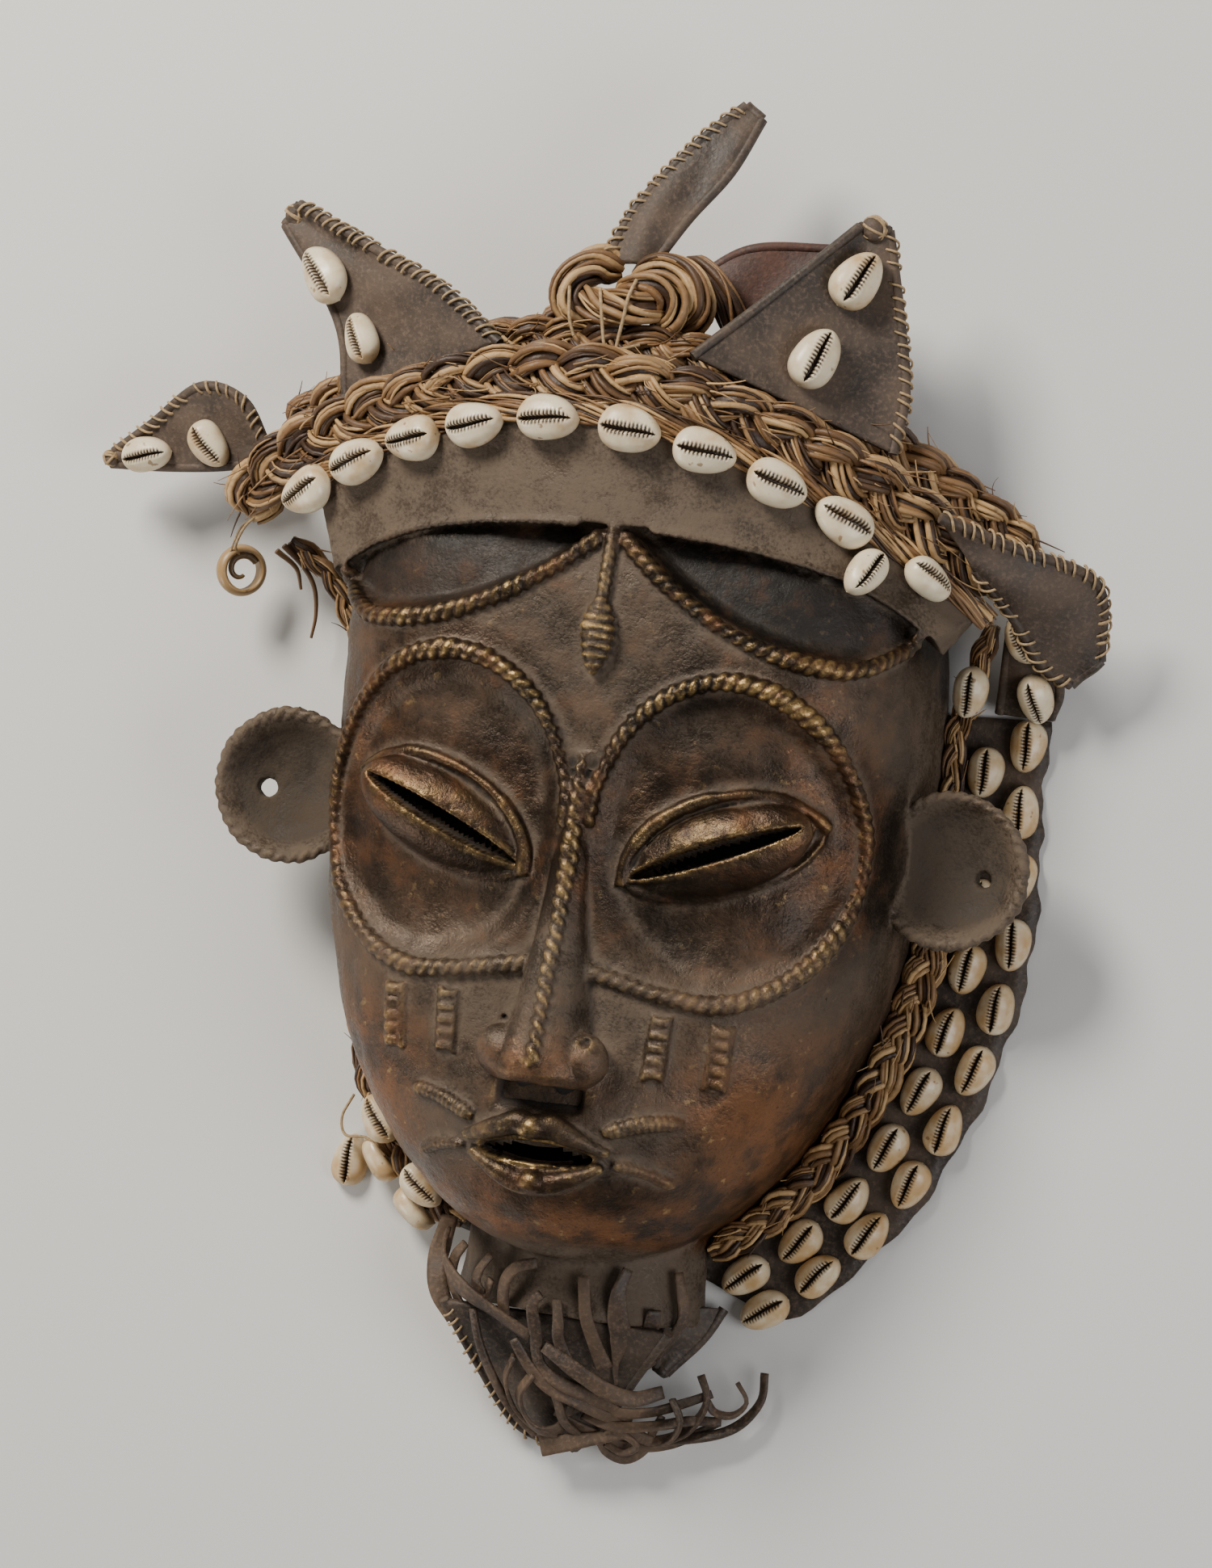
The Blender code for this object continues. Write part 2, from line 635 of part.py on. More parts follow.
def leather_pieces(leather_finish, ivory):
    def shells_on(piece, places):
        _, anchor, normal = piece
        for name, x, y, turn, size in places:
            flat = spot(x, y, 0)
            height = anchor.z - (normal.x * (flat.x - anchor.x) + normal.y * (flat.y - anchor.y)) / normal.z
            seat = Vector((flat.x, flat.y, height)) + normal * (LEATHER / 2 + CLEARANCE)
            along = Vector((cos(radians(turn)), sin(radians(turn)), 0))
            along.z = -(normal.x * along.x + normal.y * along.y) / normal.z
            shell(name, seat, along, normal, size, ivory)

    left = leather_piece("left_point",
                         ((-107, 125), (-114, 150), (-139, 181), (-134, 188), (-98, 173), (-74, 163), (-50, 147)),
                         ((-105, 122, 47), (-48, 143, 69), (-135, 182, 38)), leather_finish)
    shells_on(left, (("left_point_cowrie_01", -119, 165, -52, POINT_SHELL),
                     ("left_point_cowrie_02", -101, 145, -66, COLLAR_SHELL)))
    right = leather_piece("right_point",
                          ((17, 149), (40, 174), (61, 198), (70, 198), (77, 170), (82, 146), (81, 126)),
                          ((18, 146, 75), (80, 123, 51), (66, 195, 49)), leather_finish)
    shells_on(right, (("right_point_cowrie_01", 62, 180, 62, POINT_SHELL),
                      ("right_point_cowrie_02", 53, 153, 68, POINT_SHELL)))
    flap = leather_piece("left_flap",
                         ((-140, 107), (-149, 121), (-165, 124), (-182, 110), (-197, 97), (-176, 96), (-152, 99)),
                         ((-138, 108, 27), (-165, 124, 29), (-197, 97, 21)), leather_finish)
    shells_on(flap, (("left_flap_cowrie_01", -182, 100, 12, COLLAR_SHELL),
                     ("left_flap_cowrie_02", -159, 106, -50, COLLAR_SHELL)))
    leather_piece("right_flap",
                  ((101, 107), (124, 100), (149, 92), (151, 68), (142, 59), (133, 64), (124, 78), (112, 92)),
                  ((104, 104, 57), (148, 90, 29), (142, 60, 17)), leather_finish)
    leather_piece("top_flap",
                  ((-21, 181), (-14, 198), (2, 221), (15, 235), (21, 231), (14, 212), (3, 195), (-6, 181)),
                  ((-21, 181, 56), (-5, 181, 54), (17, 233, 38)), leather_finish)
    leather_piece("back_flap", ((6, 176), (24, 188), (52, 191), (64, 172), (24, 160)),
                  ((6, 176, 43), (24, 160, 43), (60, 185, 39)), leather_finish)
    leather_piece("chin_pouch",
                  ((-40, -171), (-30, -190), (-18, -210), (0, -216), (14, -205), (26, -187), (38, -171)),
                  ((-40, -171, 30), (38, -171, 30), (0, -216, 1)), leather_finish)
    strap = leather_piece("temple_strap", ((117, 47), (134, 47), (137, 58), (131, 77), (121, 77)),
                          ((116, 45, 1), (134, 45, 1), (128, 76, 20)), leather_finish)
    shells_on(strap, (("temple_cowrie_01", 126, 74, -62, COLLAR_SHELL),
                      ("temple_cowrie_02", 130, 55, -75, COLLAR_SHELL)))
    # One more on top of the side plait
    seat = spot(109, 53, 10) + Vector((0, 0, SIDE_PLAIT_RADIUS * 0.72))
    shell("temple_cowrie_03", seat, Vector((0.15, 1, 0.25)), Vector((0, 0, 1)), COLLAR_SHELL, ivory)


def brow_row(ivory):
    # Shells on the edge of the flange, against the brow plait
    for number, x in enumerate((-119, -98, -76, -52, -25, 3, 28, 52, 74)):
        edge, down, along, out = flange_edge(x)
        seat = edge + down * 0.0050 + out * 3 * CLEARANCE
        shell(f"brow_cowrie_{number + 1:02d}", seat, along, out, BROW_SHELL, ivory)
    # The last two hang a little lower
    for number, x, drop, upright in ((10, 102, 0.0070, False), (11, 88, 0.0175, True)):
        edge, down, along, out = flange_edge(x)
        seat = edge + down * drop + out * 6 * CLEARANCE
        shell(f"brow_cowrie_{number}", seat, down if upright else along, out, COLLAR_SHELL, ivory)


def loose_shells(ivory):
    floor = Vector((0, 0, CLEARANCE - RIM_Z))
    shell("loose_cowrie_01", spot(-88, -131, 0) + floor, Vector((0.1, 1, 0)), Vector((0, 0, 1)), COLLAR_SHELL, ivory)
    reach = 2 * SIDE_PLAIT_RADIUS + 3 * CLEARANCE
    for number, angle in ((2, -62), (3, -69)):
        seat, along = beside_rim(-1, radians(angle), reach, RIM_Z + SIDE_PLAIT_RADIUS)
        shell(f"loose_cowrie_{number:02d}", seat, along, Vector((along.y, -along.x, 0)), COLLAR_SHELL, ivory)
    # The broken one is only a ring
    bm = bmesh.new()
    profile = ((6.2, -3), (8.6, -1.5), (8.6, 1.5), (6.2, 3))
    points = [bm.verts.new((r * ACROSS, 0, z * UP)) for r, z in profile]
    edges = [bm.edges.new((a, b)) for a, b in zip(points, points[1:] + points[:1])]
    bmesh.ops.spin(bm, geom=points + edges, cent=(0, 0, 0), axis=(0, 0, 1), angle=2 * pi, steps=10, use_merge=True)
    bmesh.ops.remove_doubles(bm, verts=bm.verts, dist=0.0001)
    bmesh.ops.rotate(bm, matrix=Matrix.Rotation(radians(40), 3, "Y"), verts=bm.verts)
    bmesh.ops.translate(bm, vec=spot(-146, 64, 19), verts=bm.verts)
    add("broken_cowrie", finish_mesh("broken_cowrie", bm, 60), parts, ivory)


def thong_tassel(finish):
    route = [spot(*place) for place in ((-10, -180, 39), (-6, -192, 33), (10, -205, 25), (36, -206, 10),
                                        (58, -194, 9), (68, -181, 9))]
    shares = (0.8, 1, 1, 1, 0.9, 0.5)
    add("thong_tassel", tube_mesh("thong_tassel", route, 8 * ACROSS, shares), parts, finish)


def stand_on_origin():
    # The origin is on the floor, under the middle of the whole
    root = bpy.data.objects.new("root", None)
    parts.objects.link(root)
    graph = bpy.context.evaluated_depsgraph_get()
    corners = []
    for made in parts.objects:
        if made.type == "MESH":
            seen = made.evaluated_get(graph)
            corners += [made.matrix_world @ vert.co for vert in seen.data.vertices]
    for collection in (parts, cast_on, cutters):
        for made in collection.objects:
            if made.type == "MESH":
                made.parent = root
    middle = [(min(c[axis] for c in corners) + max(c[axis] for c in corners)) / 2 for axis in (0, 1)]
    root.location = (-middle[0], -middle[1], -min(c.z for c in corners))


start_scene()
bronze = material("dark bronze", (0.10, 0.065, 0.04), 0.45, 0.9)
plant_fibre = material("plant fibre", (0.27, 0.15, 0.07), 0.85)
dark_leather = material("dark leather", (0.085, 0.06, 0.048), 0.65)
cowrie = material("cowrie", (0.80, 0.70, 0.52), 0.25)
thong_leather = material("thong leather", (0.06, 0.035, 0.025), 0.6)

bronze_mask(bronze)
collar(dark_leather, plant_fibre, cowrie)
head_plaits(plant_fibre)
leather_pieces(dark_leather, cowrie)
brow_row(cowrie)
loose_shells(cowrie)
thong_tassel(thong_leather)
stand_on_origin()
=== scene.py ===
# Looks of a cast bronze face mask with a head-dress of fibre plaits, sewn leather and cowries.
# It lies on its back. Places on it are in millimetres from the middle of the face, heights from its rim.

import random
from math import atan2, cos, pi, radians, sin

import bmesh
import bpy
import numpy as np
from mathutils import Matrix, Vector


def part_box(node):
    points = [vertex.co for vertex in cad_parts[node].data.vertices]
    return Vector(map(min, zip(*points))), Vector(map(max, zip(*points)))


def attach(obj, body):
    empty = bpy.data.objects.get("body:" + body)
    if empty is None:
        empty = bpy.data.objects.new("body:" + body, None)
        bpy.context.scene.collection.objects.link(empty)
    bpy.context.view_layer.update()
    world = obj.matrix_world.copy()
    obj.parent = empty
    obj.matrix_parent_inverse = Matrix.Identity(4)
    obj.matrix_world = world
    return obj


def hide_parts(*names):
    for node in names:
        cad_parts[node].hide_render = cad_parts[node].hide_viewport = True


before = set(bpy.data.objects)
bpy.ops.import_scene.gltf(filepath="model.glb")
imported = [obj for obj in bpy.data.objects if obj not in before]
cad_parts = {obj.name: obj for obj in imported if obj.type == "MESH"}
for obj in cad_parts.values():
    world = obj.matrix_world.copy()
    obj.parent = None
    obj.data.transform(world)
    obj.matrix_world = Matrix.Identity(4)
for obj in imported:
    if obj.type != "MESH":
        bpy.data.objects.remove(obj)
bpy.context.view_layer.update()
rng = random.Random(11)
dice = np.random.default_rng(11)

maskLow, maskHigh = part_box("bronze_mask")
face = {
    "middle": (maskLow.x + maskHigh.x) / 2,
    "chinEnd": maskLow.y,
    "neckEnd": 169,
    "rim": 0.0025,
    "halfWidth": 100,
    "depth": 85.5,
    "wall": 3.4,
    "chin": 152,
    "crown": 112,
    "eyeX": 47,
    "eyeY": -6,
    "eyeWide": 43,
    "eyeHigh": 52,
    "slitTilt": radians(23),
    "slitX": 46,
    "slitY": -9,
    "slitHalf": 29,
    "mouthY": -112,
    "mouthHalf": 19,
    "earX": 114,
    "earY": -6,
    "earZ": 30,
}


# Places

def spot(x, y, z):
    return Vector((face["middle"] + x / 1000, face["chinEnd"] + (y + face["neckEnd"]) / 1000,
                   face["rim"] + z / 1000))


def spots(x, y, z):
    x, y, z = np.broadcast_arrays(np.asarray(x, float), y, z)
    return np.column_stack([face["middle"] + x / 1000, face["chinEnd"] + (y + face["neckEnd"]) / 1000,
                            face["rim"] + z / 1000])


def onFace(points):
    # Back from metres to millimetres on the face
    return ((points[:, 0] - face["middle"]) * 1000, (points[:, 1] - face["chinEnd"]) * 1000 - face["neckEnd"],
            (points[:, 2] - face["rim"]) * 1000)


def ease(value):
    value = np.clip(value, 0, 1)
    return value * value * (3 - 2 * value)


def bump(x, y, middleX, middleY, wide, high):
    return np.exp(-((x - middleX) / wide) ** 2 - ((y - middleY) / high) ** 2)


def patched(x, y, patches):
    return sum(amount * bump(x, y, *patch) for amount, *patch in patches)


def rimRadius(angle):
    c, s = np.abs(np.cos(angle)), np.abs(np.sin(angle))
    below = 1 / np.hypot(c / face["halfWidth"], s / face["chin"])
    above = 1 / ((c / face["halfWidth"]) ** 4 + (s / face["crown"]) ** 4) ** 0.25
    return np.where(np.sin(angle) < 0, below, above)


def browLine(x):
    x = np.abs(x)
    inner = 55 + 38 * np.maximum(1 - x / 78, 0) ** 2
    return np.where(x < 78, inner, 55 + 22 * ((x - 78) / 25) ** 2)


def eyeField(x, y):
    return np.hypot((np.abs(x) - face["eyeX"]) / face["eyeWide"], (y - face["eyeY"]) / face["eyeHigh"])


def relief(x, y):
    side = np.abs(x)
    muzzle = 11 * bump(side, y, 0, -108, 40, 30)
    recess = 9 * ease((y - browLine(x)) / 6)
    basin = 4.5 * ease((1 - eyeField(x, y)) / 0.22)
    pocket = 2.2 * bump(side, y, 40, -38, 20, 11) * ease((1 - eyeField(x, y)) / 0.1)
    return muzzle - recess - basin - pocket


def skin(x, y, wall=0.0):
    x, y = np.asarray(x, float), np.asarray(y, float)
    reach = np.hypot(x, y)
    share = np.minimum(reach / rimRadius(np.arctan2(y, x)), 1)
    rise = np.where(reach > 1e-6, y / np.maximum(reach, 1e-6), 0)
    e = np.where(reach > 1e-6, 3.1 + np.where(y > 0, 3.0, 0.8) * rise * rise, 3.1)
    return (face["depth"] - wall) * (1 - share ** e) ** (1 / e) + relief(x, y) * ease((1 - share) / 0.12)


def onSkin(x, y, lift=0.0):
    return spots(x, y, skin(x, y) + lift)


# Lines and tubes

def evenly(points, spacing):
    points = np.asarray(points, float)
    run = np.concatenate([[0], np.cumsum(np.linalg.norm(np.diff(points, axis=0), axis=1))])
    count = max(3, int(round(run[-1] / spacing)) + 1)
    at = np.linspace(0, run[-1], count)
    return np.column_stack([np.interp(at, run, points[:, i]) for i in range(3)]), at


def curved(points, steps=12):
    # A smooth route through the given places
    points = [Vector(p) for p in points]
    ends = [2 * points[0] - points[1]] + points + [2 * points[-1] - points[-2]]
    route = []
    for a, b, c, d in zip(ends, ends[1:], ends[2:], ends[3:]):
        for step in range(steps):
            t = step / steps
            route.append(0.5 * (2 * b + (c - a) * t + (2 * a - 5 * b + 4 * c - d) * t * t
                                + (3 * b - a - 3 * c + d) * t ** 3))
    return np.array(route + [points[-1]], float)


def unit(rows):
    return rows / np.maximum(np.linalg.norm(rows, axis=1, keepdims=True), 1e-12)


def framed(points, out=(0, 0, 1)):
    # The direction along the line at each point, and two square to it
    along = unit(np.gradient(points, axis=0))
    out = np.broadcast_to(np.asarray(out, float), points.shape)
    out = unit(out - along * np.sum(out * along, axis=1, keepdims=True))
    return along, out, np.cross(out, along)


def tubes(name, lines, resolution=1):
    # One mesh of round tubes, each line being its points and its radii in metres
    curve = bpy.data.curves.new(name, "CURVE")
    curve.dimensions = "3D"
    curve.bevel_depth = 1
    curve.bevel_resolution = resolution
    curve.use_fill_caps = True
    for points, radii in lines:
        spline = curve.splines.new("POLY")
        spline.points.add(len(points) - 1)
        spline.points.foreach_set("co", np.column_stack([points, np.ones(len(points))]).ravel())
        spline.points.foreach_set("radius", np.broadcast_to(radii, (len(points),)).astype(np.float32))
    holder = bpy.data.objects.new(name, curve)
    bpy.context.scene.collection.objects.link(holder)
    mesh = bpy.data.meshes.new_from_object(holder.evaluated_get(bpy.context.evaluated_depsgraph_get()))
    bpy.data.objects.remove(holder)
    bpy.data.curves.remove(curve)
    mesh.name = name
    mesh.shade_smooth()
    sides = 4 + 2 * resolution
    # A thick core gets a low tint, painted shade between its fibres. The mesh has the caps first, from the
    # last line back
    draws = [dice.random() * (0.1 if np.max(radii) > 0.0016 else 1) for _, radii in lines]
    tint = np.concatenate([np.repeat(draws[::-1], 2 * sides),
                           np.repeat(draws, [len(points) * sides for points, _ in lines])])
    if len(tint) == len(mesh.vertices):
        mesh.attributes.new("tint", "FLOAT", "POINT").data.foreach_set("value", tint.astype(np.float32))
    else:
        print("tint does not fit", name, len(tint), len(mesh.vertices))
    return mesh


def place(name, mesh, material, slot, *nodes):
    made = bpy.data.objects.new(name, mesh)
    bpy.context.scene.collection.objects.link(made)
    mesh.materials.clear()
    mesh.materials.append(material)
    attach(made, "root")
    if nodes:
        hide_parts(*nodes)
    return made


def meshOf(name, bm):
    bmesh.ops.recalc_face_normals(bm, faces=bm.faces)
    mesh = bpy.data.meshes.new(name)
    bm.to_mesh(mesh)
    bm.free()
    mesh.shade_smooth()
    return mesh


def joined(name, meshes):
    bm = bmesh.new()
    for mesh in meshes:
        bm.from_mesh(mesh)
        bpy.data.meshes.remove(mesh)
    mesh = bpy.data.meshes.new(name)
    bm.to_mesh(mesh)
    bm.free()
    mesh.shade_smooth()
    return mesh


def coordinates(mesh):
    points = np.empty(len(mesh.vertices) * 3, np.float32)
    mesh.vertices.foreach_get("co", points)
    return points.reshape(-1, 3).astype(float)


def setCoordinates(mesh, points):
    mesh.vertices.foreach_set("co", points.astype(np.float32).ravel())
    mesh.update()


def setAttribute(mesh, name, values):
    layer = mesh.attributes.get(name) or mesh.attributes.new(name, "FLOAT", "POINT")
    layer.data.foreach_set("value", np.asarray(values, np.float32))


def lumps(points, wavelength, seed, waves=14):
    # Smooth unevenness from about -1 to 1
    local = np.random.default_rng(seed)
    total = np.zeros(len(points))
    for _ in range(waves):
        way = local.normal(size=3)
        way /= np.linalg.norm(way)
        turns = points @ way * 2 * pi / (wavelength * local.uniform(0.6, 1.6))
        total += np.sin(turns + local.uniform(0, 6.28))
    return total / waves ** 0.5


# Materials

def newMaterial(name):
    made = bpy.data.materials.new(name)
    made.use_nodes = True
    return made, made.node_tree, made.node_tree.nodes["Principled BSDF"]


def node(tree, kind, **settings):
    made = tree.nodes.new(kind)
    for key, value in settings.items():
        setattr(made, key, value)
    return made


def wire(tree, value, socket):
    if isinstance(value, bpy.types.NodeSocket):
        tree.links.new(value, socket)
    else:
        socket.default_value = value


def noiseOf(tree, scale, detail=4.0, roughness=0.55):
    made = node(tree, "ShaderNodeTexNoise")
    tree.links.new(node(tree, "ShaderNodeTexCoord").outputs["Object"], made.inputs["Vector"])
    for key, number in (("Scale", scale), ("Detail", detail), ("Roughness", roughness)):
        made.inputs[key].default_value = number
    return made.outputs["Fac"]


def span(tree, value, low, high, newLow=0.0, newHigh=1.0):
    made = node(tree, "ShaderNodeMapRange", interpolation_type="SMOOTHSTEP")
    wire(tree, value, made.inputs["Value"])
    for key, number in (("From Min", low), ("From Max", high), ("To Min", newLow), ("To Max", newHigh)):
        made.inputs[key].default_value = number
    return made.outputs["Result"]


def calc(tree, operation, a, b=0.0, clamp=False):
    made = node(tree, "ShaderNodeMath", operation=operation, use_clamp=clamp)
    wire(tree, a, made.inputs[0])
    wire(tree, b, made.inputs[1])
    return made.outputs[0]


def blendOf(tree, factor, a, b):
    made = node(tree, "ShaderNodeMix", data_type="RGBA")
    wire(tree, factor, made.inputs["Factor"])
    for value, socket in ((a, made.inputs[6]), (b, made.inputs[7])):
        wire(tree, (*value, 1) if isinstance(value, tuple) and len(value) == 3 else value, socket)
    return made.outputs[2]


def attributeOf(tree, name):
    return node(tree, "ShaderNodeAttribute", attribute_name=name).outputs["Fac"]


def bumpOf(tree, height, distance, strength=1.0, under=None):
    made = node(tree, "ShaderNodeBump")
    wire(tree, height, made.inputs["Height"])
    made.inputs["Distance"].default_value = distance
    made.inputs["Strength"].default_value = strength
    if under is not None:
        tree.links.new(under, made.inputs["Normal"])
    return made.outputs["Normal"]


bronzeLook = {
    "dark": (0.016, 0.012, 0.009),
    "brown": (0.052, 0.032, 0.020),
    "rust": (0.105, 0.046, 0.020),
    "dust": (0.118, 0.084, 0.056),
    "copper": (0.215, 0.090, 0.034),
    "gold": (0.560, 0.370, 0.150),
    # Near black, for dark patina in the hollows and for painted shade
    "patinaAndShadeDark": (0.006, 0.005, 0.004),
}


def bronzeMaterial():
    made, tree, shader = newMaterial("dark bronze")
    look = bronzeLook
    broad = noiseOf(tree, 24, 6, 0.6)
    mid = noiseOf(tree, 75, 6, 0.62)
    fine = noiseOf(tree, 210, 6, 0.65)
    grain = noiseOf(tree, 900, 4, 0.6)
    wearAndSheen, patinaAndShade = attributeOf(tree, "wearAndSheen"), attributeOf(tree, "patinaAndShade")
    dust, copper = attributeOf(tree, "dust"), attributeOf(tree, "copper")
    base = blendOf(tree, span(tree, broad, 0.36, 0.64), look["dark"], look["brown"])
    base = blendOf(tree, span(tree, mid, 0.50, 0.72, 0.0, 0.75), base, look["rust"])
    coppered = calc(tree, "MULTIPLY", copper, span(tree, mid, 0.34, 0.62, 0.12, 1.0), True)
    base = blendOf(tree, coppered, base, look["copper"])
    flecks = calc(tree, "MULTIPLY", span(tree, fine, 0.60, 0.70), calc(tree, "ADD", 0.25, coppered), True)
    base = blendOf(tree, calc(tree, "MULTIPLY", flecks, 0.5), base, look["gold"])
    base = blendOf(tree, span(tree, grain, 0.56, 0.70, 0.0, 0.6), base, look["dark"])
    speckle = calc(tree, "ADD", calc(tree, "MULTIPLY", mid, 0.55), calc(tree, "MULTIPLY", grain, 0.45))
    dusted = calc(tree, "MULTIPLY", dust, span(tree, speckle, 0.38, 0.58, 0.45, 1.0), True)
    base = blendOf(tree, dusted, base, look["dust"])
    # Gold where the crests are rubbed, and the painted highlight on the eyeballs
    rubbedAndSheen = calc(tree, "MULTIPLY", wearAndSheen, span(tree, fine, 0.34, 0.60), True)
    base = blendOf(tree, rubbedAndSheen, base, look["gold"])
    # Dark patina in the hollows, and painted shade in the flange recess, the ear dish and under the nose
    base = blendOf(tree, patinaAndShade, base, look["patinaAndShadeDark"])
    tree.links.new(base, shader.inputs["Base Color"])
    metal = calc(tree, "SUBTRACT", calc(tree, "ADD", 0.78, calc(tree, "MULTIPLY", rubbedAndSheen, 0.2)),
                 calc(tree, "MULTIPLY", dusted, 0.72), True)
    tree.links.new(calc(tree, "MULTIPLY", metal, calc(tree, "SUBTRACT", 1.0, patinaAndShade), True),
                   shader.inputs["Metallic"])
    rough = span(tree, speckle, 0.38, 0.62, 0.30, 0.48)
    rough = calc(tree, "ADD", rough, calc(tree, "MULTIPLY", dusted, 0.40))
    rough = calc(tree, "ADD", rough, calc(tree, "MULTIPLY", patinaAndShade, 0.35))
    tree.links.new(calc(tree, "SUBTRACT", rough, calc(tree, "MULTIPLY", rubbedAndSheen, 0.08), True),
                   shader.inputs["Roughness"])
    normal = bumpOf(tree, mid, 0.0016, 0.35)
    normal = bumpOf(tree, fine, 0.0008, 0.5, normal)
    tree.links.new(bumpOf(tree, grain, 0.00035, 0.6, normal), shader.inputs["Normal"])
    return made


fibreLook = {
    # gap: the darkest fibres, and the painted shade on the thick cores between them
    "gap": (0.036, 0.016, 0.007),
    "brown": (0.190, 0.096, 0.036),
    "straw": (0.540, 0.345, 0.155),
    "streak": (0.095, 0.046, 0.020),
    "roughness": 0.50,
}


def fibreMaterial():
    made, tree, shader = newMaterial("plant fibre")
    look = fibreLook
    tint = attributeOf(tree, "tint")
    broad = noiseOf(tree, 45, 4)
    fine = noiseOf(tree, 380, 5, 0.65)
    shade = calc(tree, "ADD", calc(tree, "MULTIPLY", tint, 0.85), calc(tree, "MULTIPLY", broad, 0.45))
    # Low shades take the gap colour; on the cores it is painted shade between the fibres
    base = blendOf(tree, span(tree, shade, 0.22, 0.60), look["gap"], look["brown"])
    base = blendOf(tree, span(tree, shade, 0.60, 1.10), base, look["straw"])
    base = blendOf(tree, span(tree, fine, 0.50, 0.72, 0.0, 0.50), base, look["streak"])
    tree.links.new(base, shader.inputs["Base Color"])
    shader.inputs["Roughness"].default_value = look["roughness"]
    tree.links.new(bumpOf(tree, fine, 0.0005, 0.7), shader.inputs["Normal"])
    return made


def leatherMaterial(name, dark, worn):
    made, tree, shader = newMaterial(name)
    broad = noiseOf(tree, 45, 5)
    fine = noiseOf(tree, 700, 4, 0.6)
    base = blendOf(tree, span(tree, broad, 0.35, 0.70), dark, worn)
    base = blendOf(tree, span(tree, fine, 0.45, 0.75, 0.0, 0.4), base, tuple(min(1, c * 2.2) for c in worn))
    tree.links.new(base, shader.inputs["Base Color"])
    tree.links.new(span(tree, broad, 0.3, 0.7, 0.50, 0.75), shader.inputs["Roughness"])
    normal = bumpOf(tree, broad, 0.0015, 0.5)
    tree.links.new(bumpOf(tree, fine, 0.0004, 0.6, normal), shader.inputs["Normal"])
    return made


shellLook = {
    "ivory": (0.78, 0.67, 0.47),
    "tan": (0.50, 0.31, 0.13),
    "freckle": (0.20, 0.09, 0.03),
    # slit: painted shade in the slit and between the teeth
    "slit": (0.035, 0.018, 0.010),
}


def shellMaterial():
    made, tree, shader = newMaterial("cowrie")
    look = shellLook
    shadeAndTone, aged = attributeOf(tree, "shadeAndTone"), attributeOf(tree, "aged")
    broad = noiseOf(tree, 120, 3)
    freckles = noiseOf(tree, 330, 2, 0.4)
    age = calc(tree, "ADD", broad, calc(tree, "MULTIPLY", aged, 0.5))
    base = blendOf(tree, span(tree, age, 0.45, 0.95), look["ivory"], look["tan"])
    base = blendOf(tree, span(tree, freckles, 0.68, 0.74, 0.0, 0.7), base, look["freckle"])
    # Painted shade in the slit and the grooves between the teeth; a darker tone on the broken shell
    base = blendOf(tree, shadeAndTone, base, look["slit"])
    tree.links.new(base, shader.inputs["Base Color"])
    tree.links.new(span(tree, broad, 0.3, 0.7, 0.26, 0.42), shader.inputs["Roughness"])
    tree.links.new(bumpOf(tree, broad, 0.0004, 0.3), shader.inputs["Normal"])
    return made


def plainMaterial(name, colour, roughness):
    made, tree, shader = newMaterial(name)
    fine = noiseOf(tree, 800, 4)
    base = blendOf(tree, span(tree, fine, 0.3, 0.7), tuple(c * 0.55 for c in colour), colour)
    tree.links.new(base, shader.inputs["Base Color"])
    shader.inputs["Roughness"].default_value = roughness
    tree.links.new(bumpOf(tree, fine, 0.0003, 0.5), shader.inputs["Normal"])
    return made


bronze = bronzeMaterial()
fibre = fibreMaterial()
ivory = shellMaterial()
# Each leather: its dark ground and where it is worn
leathers = {
    "dark leather": ((0.028, 0.019, 0.013), (0.092, 0.062, 0.042)),
    "red leather": ((0.030, 0.014, 0.010), (0.085, 0.036, 0.024)),
    "thong leather": ((0.030, 0.018, 0.011), (0.110, 0.068, 0.040)),
}
darkLeather, redLeather, thong = (leatherMaterial(name, *colours) for name, colours in leathers.items())
paleThread = {"colour": (0.470, 0.320, 0.165), "roughness": 0.75}
thread = plainMaterial("pale thread", paleThread["colour"], paleThread["roughness"])


# The casting

# Twisted cords: radius in millimetres, strands, the length of one segment, and how far the route lies out
castCord = {"radius": 3.2, "strands": 2, "segment": 4.1, "lift": 0.6}
edgeCord = {"radius": 1.7, "strands": 2, "segment": 3.0}
noseCord = {"radius": 2.8, "strands": 2, "segment": 4.4}
earCord = {"radius": 2.3, "strands": 2, "segment": 4.4}
stemCord = {"radius": 2.4, "strands": 2, "segment": 3.0}


def twistedCord(route, cord=castCord):
    # Strands that wind round a cast cord
    radius, strands, segment = cord["radius"], cord["strands"], cord["segment"]
    points, run = evenly(route, 0.0006)
    _, out, side = framed(points)
    lines = []
    thin = radius * 0.58
    share = np.minimum(1, 0.55 + np.minimum(run, run[-1] - run) / 0.006)
    for number in range(strands):
        turn = 2 * pi * (run * 1000 / (segment * strands) + number / strands)
        reach = ((radius - thin) * share / 1000)[:, None]
        lines.append((points + (out * np.cos(turn)[:, None] + side * np.sin(turn)[:, None]) * reach,
                      thin * share / 1000))
    lines.append((points, radius * 0.50 * share / 1000))
    return lines


def ringRoute(side):
    angles = np.radians(160 - np.arange(60) * 250 / 59)
    x, y = face["eyeX"] + face["eyeWide"] * np.cos(angles), face["eyeY"] + face["eyeHigh"] * np.sin(angles)
    x = np.concatenate([[3.0, 3.2, 4.2], x, [38, 31, 24, 17, 11, 7]])
    y = np.concatenate([[-6, 0, 6], y, [-57.5, -56, -54.5, -53, -52, -51]])
    return curved(onSkin(side * x, y, castCord["lift"])[::2], 6)


